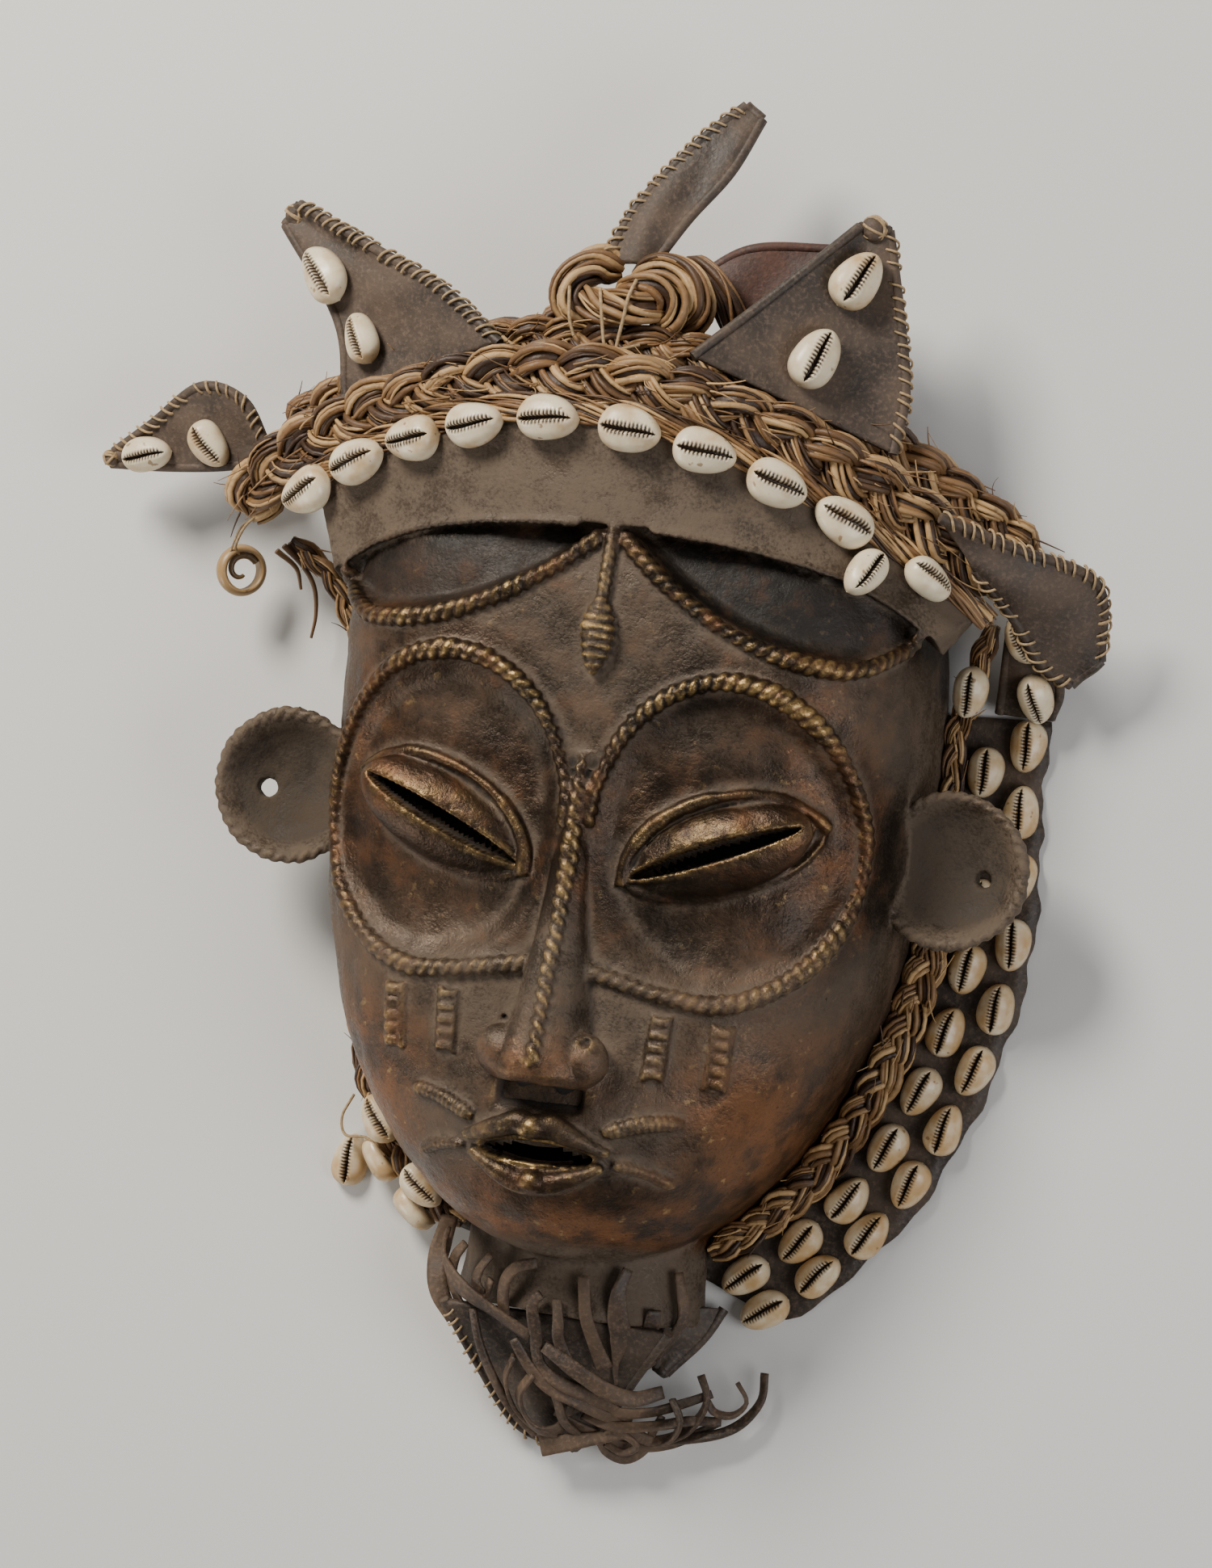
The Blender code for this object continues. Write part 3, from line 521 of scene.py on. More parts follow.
def browRoute(side, above=False):
    # The lower cord runs out along the brow, the thinner one back along the flange's foot
    corner = spots([side * 95, side * 98.5], [64.5, 69], [51.5, 55])
    if above:
        x = np.array([97, 92, 85, 76, 66, 55, 44, 33, 22, 12.0])
        footY, footZ = flangeFoot(x)
        return curved(np.concatenate([corner[1:], spots(side * x, footY - 0.6, footZ - 0.2)]), 6)
    x = np.array([3, 9, 15, 21, 27, 34, 40, 47, 54, 61, 68, 74, 80, 86, 91.0])
    return curved(np.concatenate([onSkin(side * x, browLine(x) - 1, 0.5), corner]), 5)


def domeMesh(around, rings, wall, foot):
    bm = bmesh.new()
    bmesh.ops.create_uvsphere(bm, u_segments=around, v_segments=2 * rings, radius=1)
    bmesh.ops.delete(bm, geom=[v for v in bm.verts if v.co.z < -0.001], context="VERTS")
    bmesh.ops.contextual_create(bm, geom=[e for e in bm.edges if e.is_boundary])
    mesh = meshOf("dome", bm)
    points = coordinates(mesh)
    flat, angle = np.hypot(points[:, 0], points[:, 1]), np.arctan2(points[:, 1], points[:, 0])
    reach = rimRadius(angle)
    share = np.minimum(flat, 1) ** (2 / 3.1)
    x, y = share * reach * np.cos(angle), share * reach * np.sin(angle)
    atFoot = points[:, 2] < 0.001
    z = np.where(atFoot, foot, skin(x, y, wall) - wall * 0.15)
    inset = 1 - wall / reach
    setCoordinates(mesh, spots(x * inset, y * inset, z))
    return mesh


def archMiddle(x):
    fall = abs((x + 5) / (123 if x > -5 else 141)) ** 1.8
    return spot(x, 139 - 0.0029 * (x + 15) ** 2, 81.5 - 53 * fall)


def arch(x, forward=0.0, upward=0.0):
    # A place beside the middle of the brow plait, by so many millimetres out of the face and to the crown
    along = (archMiddle(x + 1) - archMiddle(x - 1)).normalized()
    out = (Vector((0, 0, 1)) - along * along.z).normalized()
    return archMiddle(x) + out * forward / 1000 + out.cross(along) * upward / 1000


def flangeFoot(x):
    share = abs(x) / 97
    return 92 - 12 * share ** 2 - 8 * share ** 6, 83.5 - 28 * share ** 2


def flangeEdge(x):
    edge = arch(x, 5.5, -10.1)
    footY, footZ = flangeFoot(x * 0.87)
    down = (spot(x * 0.87, footY, footZ) - edge).normalized()
    along = (archMiddle(x + 1) - archMiddle(x - 1)).normalized()
    return edge, down, along, down.cross(along).normalized()


def loftMesh(sections):
    # A closed body through like rings of points
    bm = bmesh.new()
    rings = [[bm.verts.new(point) for point in section] for section in sections]
    for low, high in zip(rings, rings[1:]):
        for index in range(len(low)):
            after = (index + 1) % len(low)
            bm.faces.new((low[index], low[after], high[after], high[index]))
    bm.faces.new(rings[0])
    bm.faces.new(rings[-1])
    return meshOf("loft", bm)


def flangeMesh():
    sections = []
    for x in np.linspace(-118, 118, 61):
        footY, footZ = flangeFoot(x * 0.87)
        foot = spot(x * 0.87, footY, footZ)
        edge = flangeEdge(x)[0]
        middle = (foot + edge) / 2 - Vector((0, 0, 0.0012))
        deep = 15 * ease((abs(x) - 90) / 14)
        sections.append((edge, arch(x, 1.5, -10.1), spot(x * 0.87, footY + 9, footZ - 20 - deep * 0.4),
                         spot(x * 0.87, footY - 0.3 * deep, footZ - 1 - deep), foot, middle))
    return loftMesh(sections)


noseStations = ((18, 3.5, 87), (4, 5, 87.5), (-10, 6, 88), (-25, 7.5, 90), (-40, 9, 93), (-52, 10.5, 96),
                (-64, 12.5, 99), (-74, 15, 102), (-82, 16.5, 104), (-86, 16.5, 104), (-88.5, 15.5, 102))


def noseMeshes():
    sections = []
    for y, half, ridge in noseStations:
        low = float(skin(half, y)) - 6
        turns = np.linspace(0, pi, 17)
        x = half * np.sign(np.cos(turns)) * np.abs(np.cos(turns)) ** 0.75
        z = low + (ridge - low) * np.sin(turns) ** 0.8
        sections.append([spot(a, y, b) for a, b in zip(x, z)])
    made = [loftMesh(sections)]
    for side in (-1, 1):
        made.append(ballMesh(spot(side * 13.2, -79.8, 92), (8.8, 8.8, 7.6)))
        made.append(ballMesh(spot(side * 6.5, -90, 88), (4.0, 3.2, 4.5)))
    return made


def ballMesh(centre, size, turn=None, around=28, rings=16):
    bm = bmesh.new()
    bmesh.ops.create_uvsphere(bm, u_segments=around, v_segments=rings, radius=1)
    bmesh.ops.scale(bm, vec=Vector(size) / 1000, verts=bm.verts)
    if turn:
        bmesh.ops.rotate(bm, matrix=turn, verts=bm.verts)
    bmesh.ops.translate(bm, vec=centre, verts=bm.verts)
    return meshOf("ball", bm)


def blockMesh(centre, size, turn=None, rounded=0.3):
    bm = bmesh.new()
    bmesh.ops.create_cube(bm, size=1)
    bmesh.ops.scale(bm, vec=Vector(size) / 1000, verts=bm.verts)
    bmesh.ops.bevel(bm, geom=bm.edges[:], offset=min(size) * rounded / 1000, segments=3, affect="EDGES")
    if turn:
        bmesh.ops.rotate(bm, matrix=turn, verts=bm.verts)
    bmesh.ops.translate(bm, vec=centre, verts=bm.verts)
    return meshOf("block", bm)


def eyePlace(side, across, high, lift):
    # From the slit's own directions to the face
    turn = side * face["slitTilt"]
    x = side * face["slitX"] + side * across * np.cos(turn) - high * np.sin(turn)
    y = face["slitY"] + side * across * np.sin(turn) + high * np.cos(turn)
    return onSkin(x, y, lift)


def eyeMeshes(side):
    tilt = Matrix.Rotation(side * face["slitTilt"], 3, "Z")
    middle = Vector(onSkin(side * face["slitX"], face["slitY"], -2)[0])
    made = [ballMesh(middle, (32, 14.5, 10), tilt, 48, 24)]
    across = np.array([-33, -29, -22, -14, -6, 3, 12, 20, 27, 32, 34.5])
    upper = np.array([-2, 5.5, 11.5, 15.2, 17, 17.3, 16, 13.5, 9, 3.5, -2])
    lines = [(curved(eyePlace(side, across, upper, 1.0), 5), 0.0021)]
    lower = np.array([-1, -5.5, -9.5, -12.2, -13.6, -14, -13.4, -11.8, -8.8, -5, -1.5])
    lines.append((curved(eyePlace(side, across * 0.97, lower, -0.4), 5), 0.0015))
    slit = np.linspace(-29, 30, 24)
    arc = 3.6 * (1 - (slit / 31) ** 2) + 0.6
    rise = 7.0 * (1 - (slit / 36) ** 2) - 2.0
    lines.append((curved(eyePlace(side, slit, arc, rise), 3), 0.0012))
    lines.append((curved(eyePlace(side, slit, -arc, rise), 3), 0.0016))
    made.append(tubes("lids", [(p, np.full(len(p), r)) for p, r in lines], 3))
    return made


# Each lip: x and y along it, and its thickness
lips = (
    ((-24.5, -18, -12, -6, 0, 6, 12, 18, 24.5),
     (-109.5, -107.2, -105, -102.8, -103.4, -102.8, -105, -107.2, -109.5), 4.1),
    ((-22.5, -17, -12, -6, 0, 6, 12, 17, 22.5),
     (-114, -117, -119.4, -121.4, -122, -121.4, -119.4, -117, -114), 4.5),
)


def mouthMeshes():
    lines = []
    for x, y, thick in lips:
        route = curved(onSkin(x, y, 1.6), 6)
        share = np.sin(np.linspace(0.16, pi - 0.16, len(route))) ** 0.6
        lines.append((route, thick * share / 1000))
    made = [tubes("lips", lines, 3)]
    made.append(ballMesh(spot(0, -103.6, skin(0, -103.6) + 3.4), (5.0, 3.8, 3.8)))
    made.append(ballMesh(spot(0, -121.4, skin(0, -121.4) + 3.2), (5.2, 4.0, 3.8)))
    return made


# Ends of the barred scars, and of the whiskers with their thickness
scars = {
    "bars": (((55.5, -64), (54, -85)), ((36, -63), (35, -84))),
    "steps": 5,
    "whiskers": (((46, -97), (22, -103), 2.7), ((43, -118), (25, -113), 2.4)),
}


def scarMeshes(side):
    made = []
    for top, foot in scars["bars"]:
        for step in range(scars["steps"]):
            share = (step + 0.5) / scars["steps"]
            x, y = top[0] + (foot[0] - top[0]) * share, top[1] + (foot[1] - top[1]) * share
            size = (6.4 - 0.7 * (step == 0), 3.1, 5.2)
            made.append(blockMesh(Vector(onSkin(side * x, y, 0.2)[0]), size, rounded=0.2))
        for edge in (-2.7, 2.7):
            t = np.linspace(0, 1, 14)
            x, y = top[0] + (foot[0] - top[0]) * t + edge, top[1] + (foot[1] - top[1]) * t
            made.append(tubes("rail", [(onSkin(side * x, y, 0.7), np.full(14, 0.0011))], 2))
    for (x0, y0), (x1, y1), thick in scars["whiskers"]:
        t = np.linspace(0, 1, 30)
        points = onSkin(side * (x0 + (x1 - x0) * t), y0 + (y1 - y0) * t + 1.5 * np.sin(pi * t), 0.5)
        share = np.minimum(1, 0.5 + 4 * np.minimum(t, 1 - t))
        fine, run = evenly(points, 0.0004)
        at = run / run[-1]
        radius = thick * np.interp(at, t, share) * (1 + 0.16 * np.cos(at * 2 * pi * 12)) / 1000
        made.append(tubes("whisker", [(fine, radius)], 3))
    return made


def dropMeshes():
    stem = curved(onSkin(np.zeros(6), np.array([92, 86, 81, 76, 71, 66.0]), 1.2), 5)
    t = np.linspace(0, 1, 160)
    y = 68 - 25 * t
    body = onSkin(np.zeros(160), y, 2.6)
    radius = 5.3 * np.sin(pi * np.clip(t * 0.92 + 0.06, 0, 1)) ** 0.62 * (1 + 0.12 * np.cos(t * 2 * pi * 8))
    return [tubes("stem", twistedCord(stem, stemCord), 2), tubes("drop", [(body, radius / 1000)], 5)]


# Radius and height of the ear disc, from its underside round the rim to the hollow on top
earProfile = ((0.1, -7), (8, -6.6), (15, -5), (20, -1), (23, 3), (25, 6), (23.4, 7.4), (22, 7), (18.5, 3.2),
              (14, 0.5), (7, -1.5), (0.1, -2))


def turned(profile, ends, steps, weld):
    # A profile of radius and height, turned round the z axis
    bm = bmesh.new()
    points = [bm.verts.new((r / 1000, 0, z / 1000)) for r, z in profile]
    edges = [bm.edges.new(pair) for pair in zip(points, points[1:] + points[:ends])]
    bmesh.ops.spin(bm, geom=points + edges, cent=(0, 0, 0), axis=(0, 0, 1), angle=2 * pi, steps=steps,
                   use_merge=True)
    bmesh.ops.remove_doubles(bm, verts=bm.verts, dist=weld)
    return bm


def earMeshes(side):
    bm = turned(earProfile, 0, 48, 0.0004)
    bmesh.ops.holes_fill(bm, edges=bm.edges)
    bmesh.ops.translate(bm, vec=spot(side * face["earX"], face["earY"], face["earZ"]), verts=bm.verts)
    disc = bpy.data.objects.new("ear", meshOf("ear", bm))
    bm = bmesh.new()
    bmesh.ops.create_cone(bm, cap_ends=True, segments=24, radius1=0.00325, radius2=0.00325, depth=0.04)
    bmesh.ops.translate(bm, vec=spot(side * 124, -8, 30), verts=bm.verts)
    hole = bpy.data.objects.new("ear hole", meshOf("ear hole", bm))
    for made in (disc, hole):
        bpy.context.scene.collection.objects.link(made)
    cut = disc.modifiers.new("hole", "BOOLEAN")
    cut.operation = "DIFFERENCE"
    cut.object = hole
    result = bpy.data.meshes.new_from_object(disc.evaluated_get(bpy.context.evaluated_depsgraph_get()))
    for made in (disc, hole):
        bpy.data.objects.remove(made)
    turns = np.linspace(0, 2 * pi, 120)
    rim = spots(side * face["earX"] + 24.2 * np.cos(turns), face["earY"] + 24.2 * np.sin(turns),
                face["earZ"] + 6.6)
    return [result, tubes("ear rim", twistedCord(rim, earCord), 1)]


def neckMesh():
    sections = []
    for y, swell in ((-134, 0), (-145, 0), (-158, 0.6), (-166, 1.6), (-169, 1.6)):
        turns = np.linspace(0, pi, 49)
        outer = [spot((41 + swell) * cos(a), y, 0.6 + (36 + swell) * sin(a)) for a in turns]
        inner = [spot((41 - 3.4) * cos(a), y, 0.6 + (36 - 3.4) * sin(a)) for a in turns]
        sections.append(outer + inner[::-1])
    return loftMesh(sections)


def castingMesh():
    meshes = [domeMesh(360, 120, 0, 0.0), flangeMesh(), neckMesh()]
    for side in (-1, 1):
        meshes.append(tubes("ring", twistedCord(ringRoute(side)), 1))
        meshes.append(tubes("brow", twistedCord(browRoute(side)), 1))
        meshes.append(tubes("brow edge", twistedCord(browRoute(side, True), edgeCord), 1))
        meshes += eyeMeshes(side) + scarMeshes(side) + earMeshes(side)
    meshes += noseMeshes() + mouthMeshes() + dropMeshes()
    ridgeY = np.array([16, 4, -10, -25, -40, -52, -64, -74, -83.0])
    ridge = curved(spots(0, ridgeY, np.interp(ridgeY[::-1], [s[0] for s in noseStations][::-1],
                                              [s[2] for s in noseStations][::-1])[::-1] + 0.2), 5)
    meshes.append(tubes("nose cord", twistedCord(ridge, noseCord), 1))
    return joined("casting", meshes)


def smoothOf(points, first, second, count, rounds):
    # Each point moved to the middle of its neighbours, so many times
    degree = np.bincount(first, minlength=count) + np.bincount(second, minlength=count)
    for _ in range(rounds):
        total = np.empty_like(points)
        for axis in range(3):
            total[:, axis] = (np.bincount(first, points[second, axis], count)
                              + np.bincount(second, points[first, axis], count))
        points = points * 0.3 + 0.7 * total / np.maximum(degree, 1)[:, None]
    return points


def edgesOf(mesh):
    pairs = np.empty(len(mesh.edges) * 2, np.int32)
    mesh.edges.foreach_get("vertices", pairs)
    return pairs[::2], pairs[1::2]


def normalsOf(mesh):
    normals = np.empty(len(mesh.vertices) * 3, np.float32)
    mesh.vertices.foreach_get("normal", normals)
    return normals.reshape(-1, 3).astype(float)


def evaluated(name, mesh, *modifiers):
    # The mesh after these modifiers, each a kind and its settings
    holder = bpy.data.objects.new(name, mesh)
    bpy.context.scene.collection.objects.link(holder)
    for kind, settings in modifiers:
        modifier = holder.modifiers.new(kind, kind)
        for key, value in settings.items():
            setattr(modifier, key, value)
    made = bpy.data.meshes.new_from_object(holder.evaluated_get(bpy.context.evaluated_depsgraph_get()))
    bpy.data.objects.remove(holder)
    bpy.data.meshes.remove(mesh)
    made.name = name
    return made


# Each patch of the bronze's colour: its amount, centre and half sizes; "Both" lists serve both sides
gildOnce = ((0.65, 47, 44, 44, 16), (0.35, -38, 44, 30, 14), (0.15, 2, -108, 26, 20), (0.8, 0, -104, 9, 5),
            (0.8, 0, -120, 12, 5))
gildBoth = ((0.35, 0, -55, 8, 45), (0.9, 0, 54, 8, 13), (0.25, 46, -9, 28, 10))
dustBoth = ((0.75, 22, -66, 26, 24), (0.50, 66, -60, 24, 20), (0.30, 44, 26, 32, 10),
            (0.55, 34, -106, 20, 14))
copperBoth = ((1.0, 0, -140, 60, 14), (0.9, 66, -100, 26, 40), (0.15, 40, 10, 30, 18), (0.8, 10, -82, 12, 9),
              (0.5, 78, 20, 14, 40))


def slitMask(x, y):
    # 1 inside the eye slits and the mouth, falling to 0 over half a millimetre
    side = np.where(x < 0, -1, 1)
    turn = side * face["slitTilt"]
    dx, dy = x - side * face["slitX"], y - face["slitY"]
    across = side * (dx * np.cos(turn) + dy * np.sin(turn))
    high = -dx * np.sin(turn) + dy * np.cos(turn)
    half = 2.9 * np.maximum(1 - (across / face["slitHalf"]) ** 2, 0) ** 0.7
    eye = ease((half - np.abs(high)) / 0.6 + 0.5) * (np.abs(across) < face["slitHalf"])
    half = 3.6 * np.maximum(1 - (x / face["mouthHalf"]) ** 2, 0) ** 0.6
    mouth = ease((half - np.abs(y - face["mouthY"])) / 0.6 + 0.5) * (np.abs(x) < face["mouthHalf"])
    return np.maximum(eye, mouth)


castDetail = {"voxel": 0.00068, "triangles": 152000}


def bronzeMask():
    remesh = {"mode": "VOXEL", "voxel_size": castDetail["voxel"]}
    mesh = evaluated("casting", castingMesh(), ("REMESH", remesh))
    print("casting remeshed", len(mesh.vertices))
    points = coordinates(mesh)
    count = len(points)
    first, second = edgesOf(mesh)
    points = smoothOf(points, first, second, count, 1)
    setCoordinates(mesh, points)
    normals = normalsOf(mesh)
    x, y, z = onFace(points)
    share = np.hypot(x, y) / rimRadius(np.arctan2(y, x))

    # Unevenness of the casting, then the openings and pits
    uneven = 0.45 * lumps(points, 0.045, 3) + 0.16 * lumps(points, 0.012, 4) + 0.06 * lumps(points, 0.004, 5)
    points = points + normals * (uneven * ease((z - 1) / 6) / 1000)[:, None]
    slits = slitMask(x, y) * (share < 0.97) * (z > skin(x, y) - 6)
    recess = ease((16 - np.abs(x)) / 4.5) * ease((y + 100) / 7) * ease((-88.5 - y) / 2)
    pit = ease(1.6 - np.hypot(x - 15, y + 74) / 1.3) + 0.6 * ease(1.5 - np.hypot(x + 16, y + 70) / 0.9)
    depth = 7.0 * slits + 6.0 * recess * (z > 70) + 2.2 * pit * (z > 80)
    points[:, 2] -= depth / 1000
    setCoordinates(mesh, points)

    near = smoothOf(points, first, second, count, 14)
    broad = smoothOf(near, first, second, count, 45)
    normals = normalsOf(mesh)
    small = np.sum((points - near) * normals, axis=1) * 1000
    large = np.sum((points - broad) * normals, axis=1) * 1000
    side, foot = np.abs(x), flangeFoot(x)[0]
    gild = 0.26 + patched(x, y, gildOnce) + patched(side, y, gildBoth)
    gild *= (1 - 0.95 * ease((y - foot + 7) / 4)) * (1 - 0.8 * ease((side - 97) / 4))
    gild *= 1 - 0.9 * ease((-138 - y) / 6)
    gild *= 1 - 0.9 * bump(side, y, 0, -93, 20, 7)
    gild *= 1 - 0.6 * bump(side, y, 46, -5, 30, 16)
    onFlange = ease((y - foot + 3) / 4) * ease((z - 30) / 15)
    onNeck = ease((-139 - y) / 8)
    crevice = ease((-large - 0.10) / 0.7) * (z > 12)
    dust = 0.95 * onFlange + 0.85 * onNeck + 0.6 * ease((side - 96) / 6) + patched(side, y, dustBoth)
    dust += 0.45 * ease((eyeField(x, y) - 1.05) / 0.2) * ease((browLine(x) - y) / 12) * ease((y + 70) / 30)
    dust += 0.75 * crevice
    copper = patched(side, y, copperBoth) * (1 - onNeck) * ease((97 - side) / 6)
    # Painted shade: the recess panels under the flange lose most of their dust and, with the inside of the
    # ear dish, are darkened as if in shadow
    panel = ease((y - browLine(x) - 2) / 3) * ease((foot - 3 - y) / 3) * (side < 97)
    ear = ease((21 - np.hypot(side - face["earX"], y - face["earY"])) / 3) * (side > 99)
    # Dark patina in the creases and deep hollows
    patinaAndShade = np.maximum(0.80 * ease((-small - 0.26) / 0.45), 0.75 * ease((-large - 1.1) / 1.6))
    patinaAndShade = np.maximum(patinaAndShade, np.maximum(0.50 * panel, 0.40 * ear))
    dust *= 1 - 0.75 * panel
    # Painted shadow under the overhanging nose, near black
    patinaAndShade = np.maximum(patinaAndShade, 0.95 * ease(recess * 1.6) * (z > 70))
    # Gold rubbed on the crests, plus a painted highlight on the eyeballs above the slits
    setAttribute(mesh, "wearAndSheen", ease((small - 0.16) / 0.40) * ease((large + 0.3) / 0.6) * np.clip(gild, 0, 1)
                 + 0.12 * bump(side, y, 46, -3, 18, 5) * ease((np.abs(slitMask(x, y) - 1)) / 0.5))
    setAttribute(mesh, "patinaAndShade", patinaAndShade)
    setAttribute(mesh, "dust", np.clip(dust, 0, 1))
    setAttribute(mesh, "copper", np.clip(copper, 0, 1))
    setAttribute(mesh, "keep", (slits < 0.97) & (z > 0.35))

    # The solid's floor and the slits' bottoms go, and a plainer inside takes their place
    bm = bmesh.new()
    bm.from_mesh(mesh)
    keep = bm.verts.layers.float["keep"]
    gone = [f for f in bm.faces if all(v[keep] < 0.5 for v in f.verts)]
    bmesh.ops.delete(bm, geom=gone, context="FACES")
    bm.to_mesh(mesh)
    bm.free()
    triangles = sum(len(p.vertices) - 2 for p in mesh.polygons)
    mesh = evaluated("bronze_mask", mesh, ("DECIMATE", {"ratio": castDetail["triangles"] / triangles}))
    print("casting reduced", len(mesh.polygons))

    inside = domeMesh(120, 44, face["wall"], -0.2)
    bm = bmesh.new()
    bm.from_mesh(inside)
    bmesh.ops.delete(bm, geom=[f for f in bm.faces if len(f.verts) > 60], context="FACES")
    bmesh.ops.reverse_faces(bm, faces=bm.faces)
    bmesh.ops.subdivide_edges(bm, edges=[e for e in bm.edges if abs(e.verts[0].co.x - face["middle"]) < 0.085
                                         and e.verts[0].co.z > 0.06], cuts=1, use_grid_fill=True)
    points = np.array([v.co for v in bm.verts])
    x, y, z = onFace(points)
    for vert, hit in zip(bm.verts, slitMask(x, y)):
        vert.tag = bool(hit > 0.5)
    bmesh.ops.delete(bm, geom=[f for f in bm.faces if all(v.tag for v in f.verts)], context="FACES")
    rim = [e for e in bm.edges if e.is_boundary and e.verts[0].co.z < face["rim"] + 0.002]
    grown = bmesh.ops.extrude_edge_only(bm, edges=rim)["geom"]
    for vert in (g for g in grown if isinstance(g, bmesh.types.BMVert)):
        px, py, _ = onFace(np.array([vert.co]))
        angle = atan2(py[0], px[0])
        reach = float(rimRadius(angle)) - 0.15
        vert.co = spot(reach * cos(angle), reach * sin(angle), 0.05)
    bm.to_mesh(inside)
    bm.free()
    for name in ("wearAndSheen", "patinaAndShade", "dust", "copper"):
        setAttribute(inside, name, np.zeros(len(inside.vertices)) + (0.35 if name == "dust" else 0))
    mask = joined("bronze_mask", [mesh, inside])
    place("bronze_mask_look", mask, bronze, "bronze", "bronze_mask")


bronzeMask()
print("bronze done")


# Plaits of plant fibre

def bundle(points, out, side, wide, thick, count, fibreRadius, twist, seed):
    # Fibres round a strand's middle, all one way with a little wander
    local = np.random.default_rng(seed)
    run = np.concatenate([[0], np.cumsum(np.linalg.norm(np.diff(points, axis=0), axis=1))])
    lines = []
    for number in range(count):
        angle = 2 * pi * (number + local.uniform(-0.25, 0.25)) / count + twist * run
        angle = angle + 0.45 * np.sin(run / local.uniform(0.010, 0.03) + local.uniform(0, 6))
        reach = local.uniform(0.80, 1.12)
        reach = reach + 0.07 * np.sin(run / local.uniform(0.004, 0.012) + local.uniform(0, 6))[:, None]
        around = side * (np.cos(angle) * wide)[:, None] + out * (np.sin(angle) * thick)[:, None]
        radius = fibreRadius * local.uniform(0.5, 1.45)
        radius = radius * (0.92 + 0.2 * np.sin(run / 0.006 + local.uniform(0, 6)))
        lines.append((points + around * reach, radius))
    return lines


def braid(route, halfWidth, period, count, seed, thin=None):
    points, run = evenly(route, 0.0021)
    _, out, side = framed(points)
    if thin is not None:
        steps = np.concatenate([[0], np.cumsum(np.linalg.norm(np.diff(route, axis=0), axis=1))])
        halfWidth = halfWidth * np.interp(run, steps, thin)
        period = period * 0.85
    strand = halfWidth * 0.47
    tip = np.minimum(1, 0.45 + np.minimum(run, run[-1] - run) / 0.012)
    lines = []
    for number in range(3):
        phase = 2 * pi * (run / period + number / 3)
        centre = (points + side * ((halfWidth - strand) * np.sin(phase) * tip)[:, None]
                  + out * (strand * 0.60 * np.sin(2 * phase) * tip)[:, None])
        _, strandOut, strandSide = framed(centre)
        swell = (1 + 0.16 * np.cos(2 * phase - 0.9)) * tip
        lines += bundle(centre, strandOut, strandSide, strand * swell * 0.88, strand * 0.74 * tip, count,
                        strand * 3.3 / count, 60, seed * 10 + number)
        # The strand's core, darkened in tubes() as painted shade between the fibres
        lines.append((centre, strand * 0.62 * tip))
    return lines


def strays(route, halfWidth, count, seed, longest=0.016):
    # Loose ends that stand off a plait
    local = np.random.default_rng(seed)
    points, _ = evenly(route, 0.001)
    along, out, side = framed(points)
    lines = []
    for _ in range(count):
        index = local.integers(2, len(points) - 2)
        angle = local.uniform(-0.3, pi + 0.3)
        way = out[index] * sin(angle) + side[index] * cos(angle)
        start = points[index] + way * halfWidth * 0.75
        length = local.uniform(0.3, 1) * longest
        heading = along[index] * local.choice([-1, 1]) * local.uniform(0.6, 1)
        heading = heading + way * local.uniform(0.05, 0.5)
        bend = local.normal(size=3) * 0.35
        t = np.linspace(0, 1, 7)[:, None]
        line = start + heading * length * t + bend * length * t * t * 0.5
        line[:, 2] = np.maximum(line[:, 2], 0.0012)
        lines.append((line, local.uniform(0.00018, 0.00042) * (1 - 0.6 * t[:, 0])))
    return lines


def besideRim(side, angle, offset, height):
    def rim(a):
        return Vector((float(rimRadius(a)) * cos(a), float(rimRadius(a)) * sin(a), 0)) / 1000
    along = (rim(angle - 0.01) - rim(angle + 0.01)).normalized()
    point = rim(angle) + Vector((-along.y, along.x, 0)) * offset
    seat = spot(side * point.x * 1000, point.y * 1000, 0)
    return Vector((seat.x, seat.y, height)), Vector((side * along.x, along.y, 0))


def rowBesideRim(side, row, height, first, last, count):
    # So many places at even distances from one angle to another, in degrees
    angles = np.linspace(first, last, 401)
    line = np.array([besideRim(side, radians(a), rowOffset(side, row, a), height)[0] for a in angles])
    run = np.concatenate([[0], np.cumsum(np.linalg.norm(np.diff(line, axis=0), axis=1))])
    at = np.interp(run[-1] * np.arange(count) / (count - 1), run, angles)
    return [besideRim(side, radians(a), rowOffset(side, row, a), height) for a in at]


# Metres and counts; the side plaits run to "gap" beside the neck in steps, both in degrees
browPlait = {"halfWidth": 0.0104, "period": 0.050, "fibres": 18, "strays": 170, "straysFrom": 0.0095}
crownPlait = {"halfWidth": 0.0086, "period": 0.042, "fibres": 16, "strays": 110, "straysFrom": 0.0078}
sidePlait = {"radius": 0.0065, "gap": -74, "step": 8, "halfWidth": 0.0069, "period": 0.036, "fibres": 13,
             "strays": 60}


def thinness(side, angle):
    # The side plaits are thinner at the temples, the left one down to the cheek
    if side > 0:
        return 1 - 0.42 * ease((angle + 25) / 40) - 0.20 * ease((-52 - angle) / 22)
    return 1 - 0.42 * ease((angle + 57) / 20)


def rowOffset(side, row, angle):
    # Row 0 is the plait's own middle, 1 and 2 lie outside it
    plaitWidth = 2 * sidePlait["radius"] * thinness(side, angle)
    if row == 0:
        return plaitWidth / 2 + 0.0006
    return plaitWidth + 0.0009 + collarShell[1] / 2 + (row - 1) * (collarShell[1] + 0.0012)


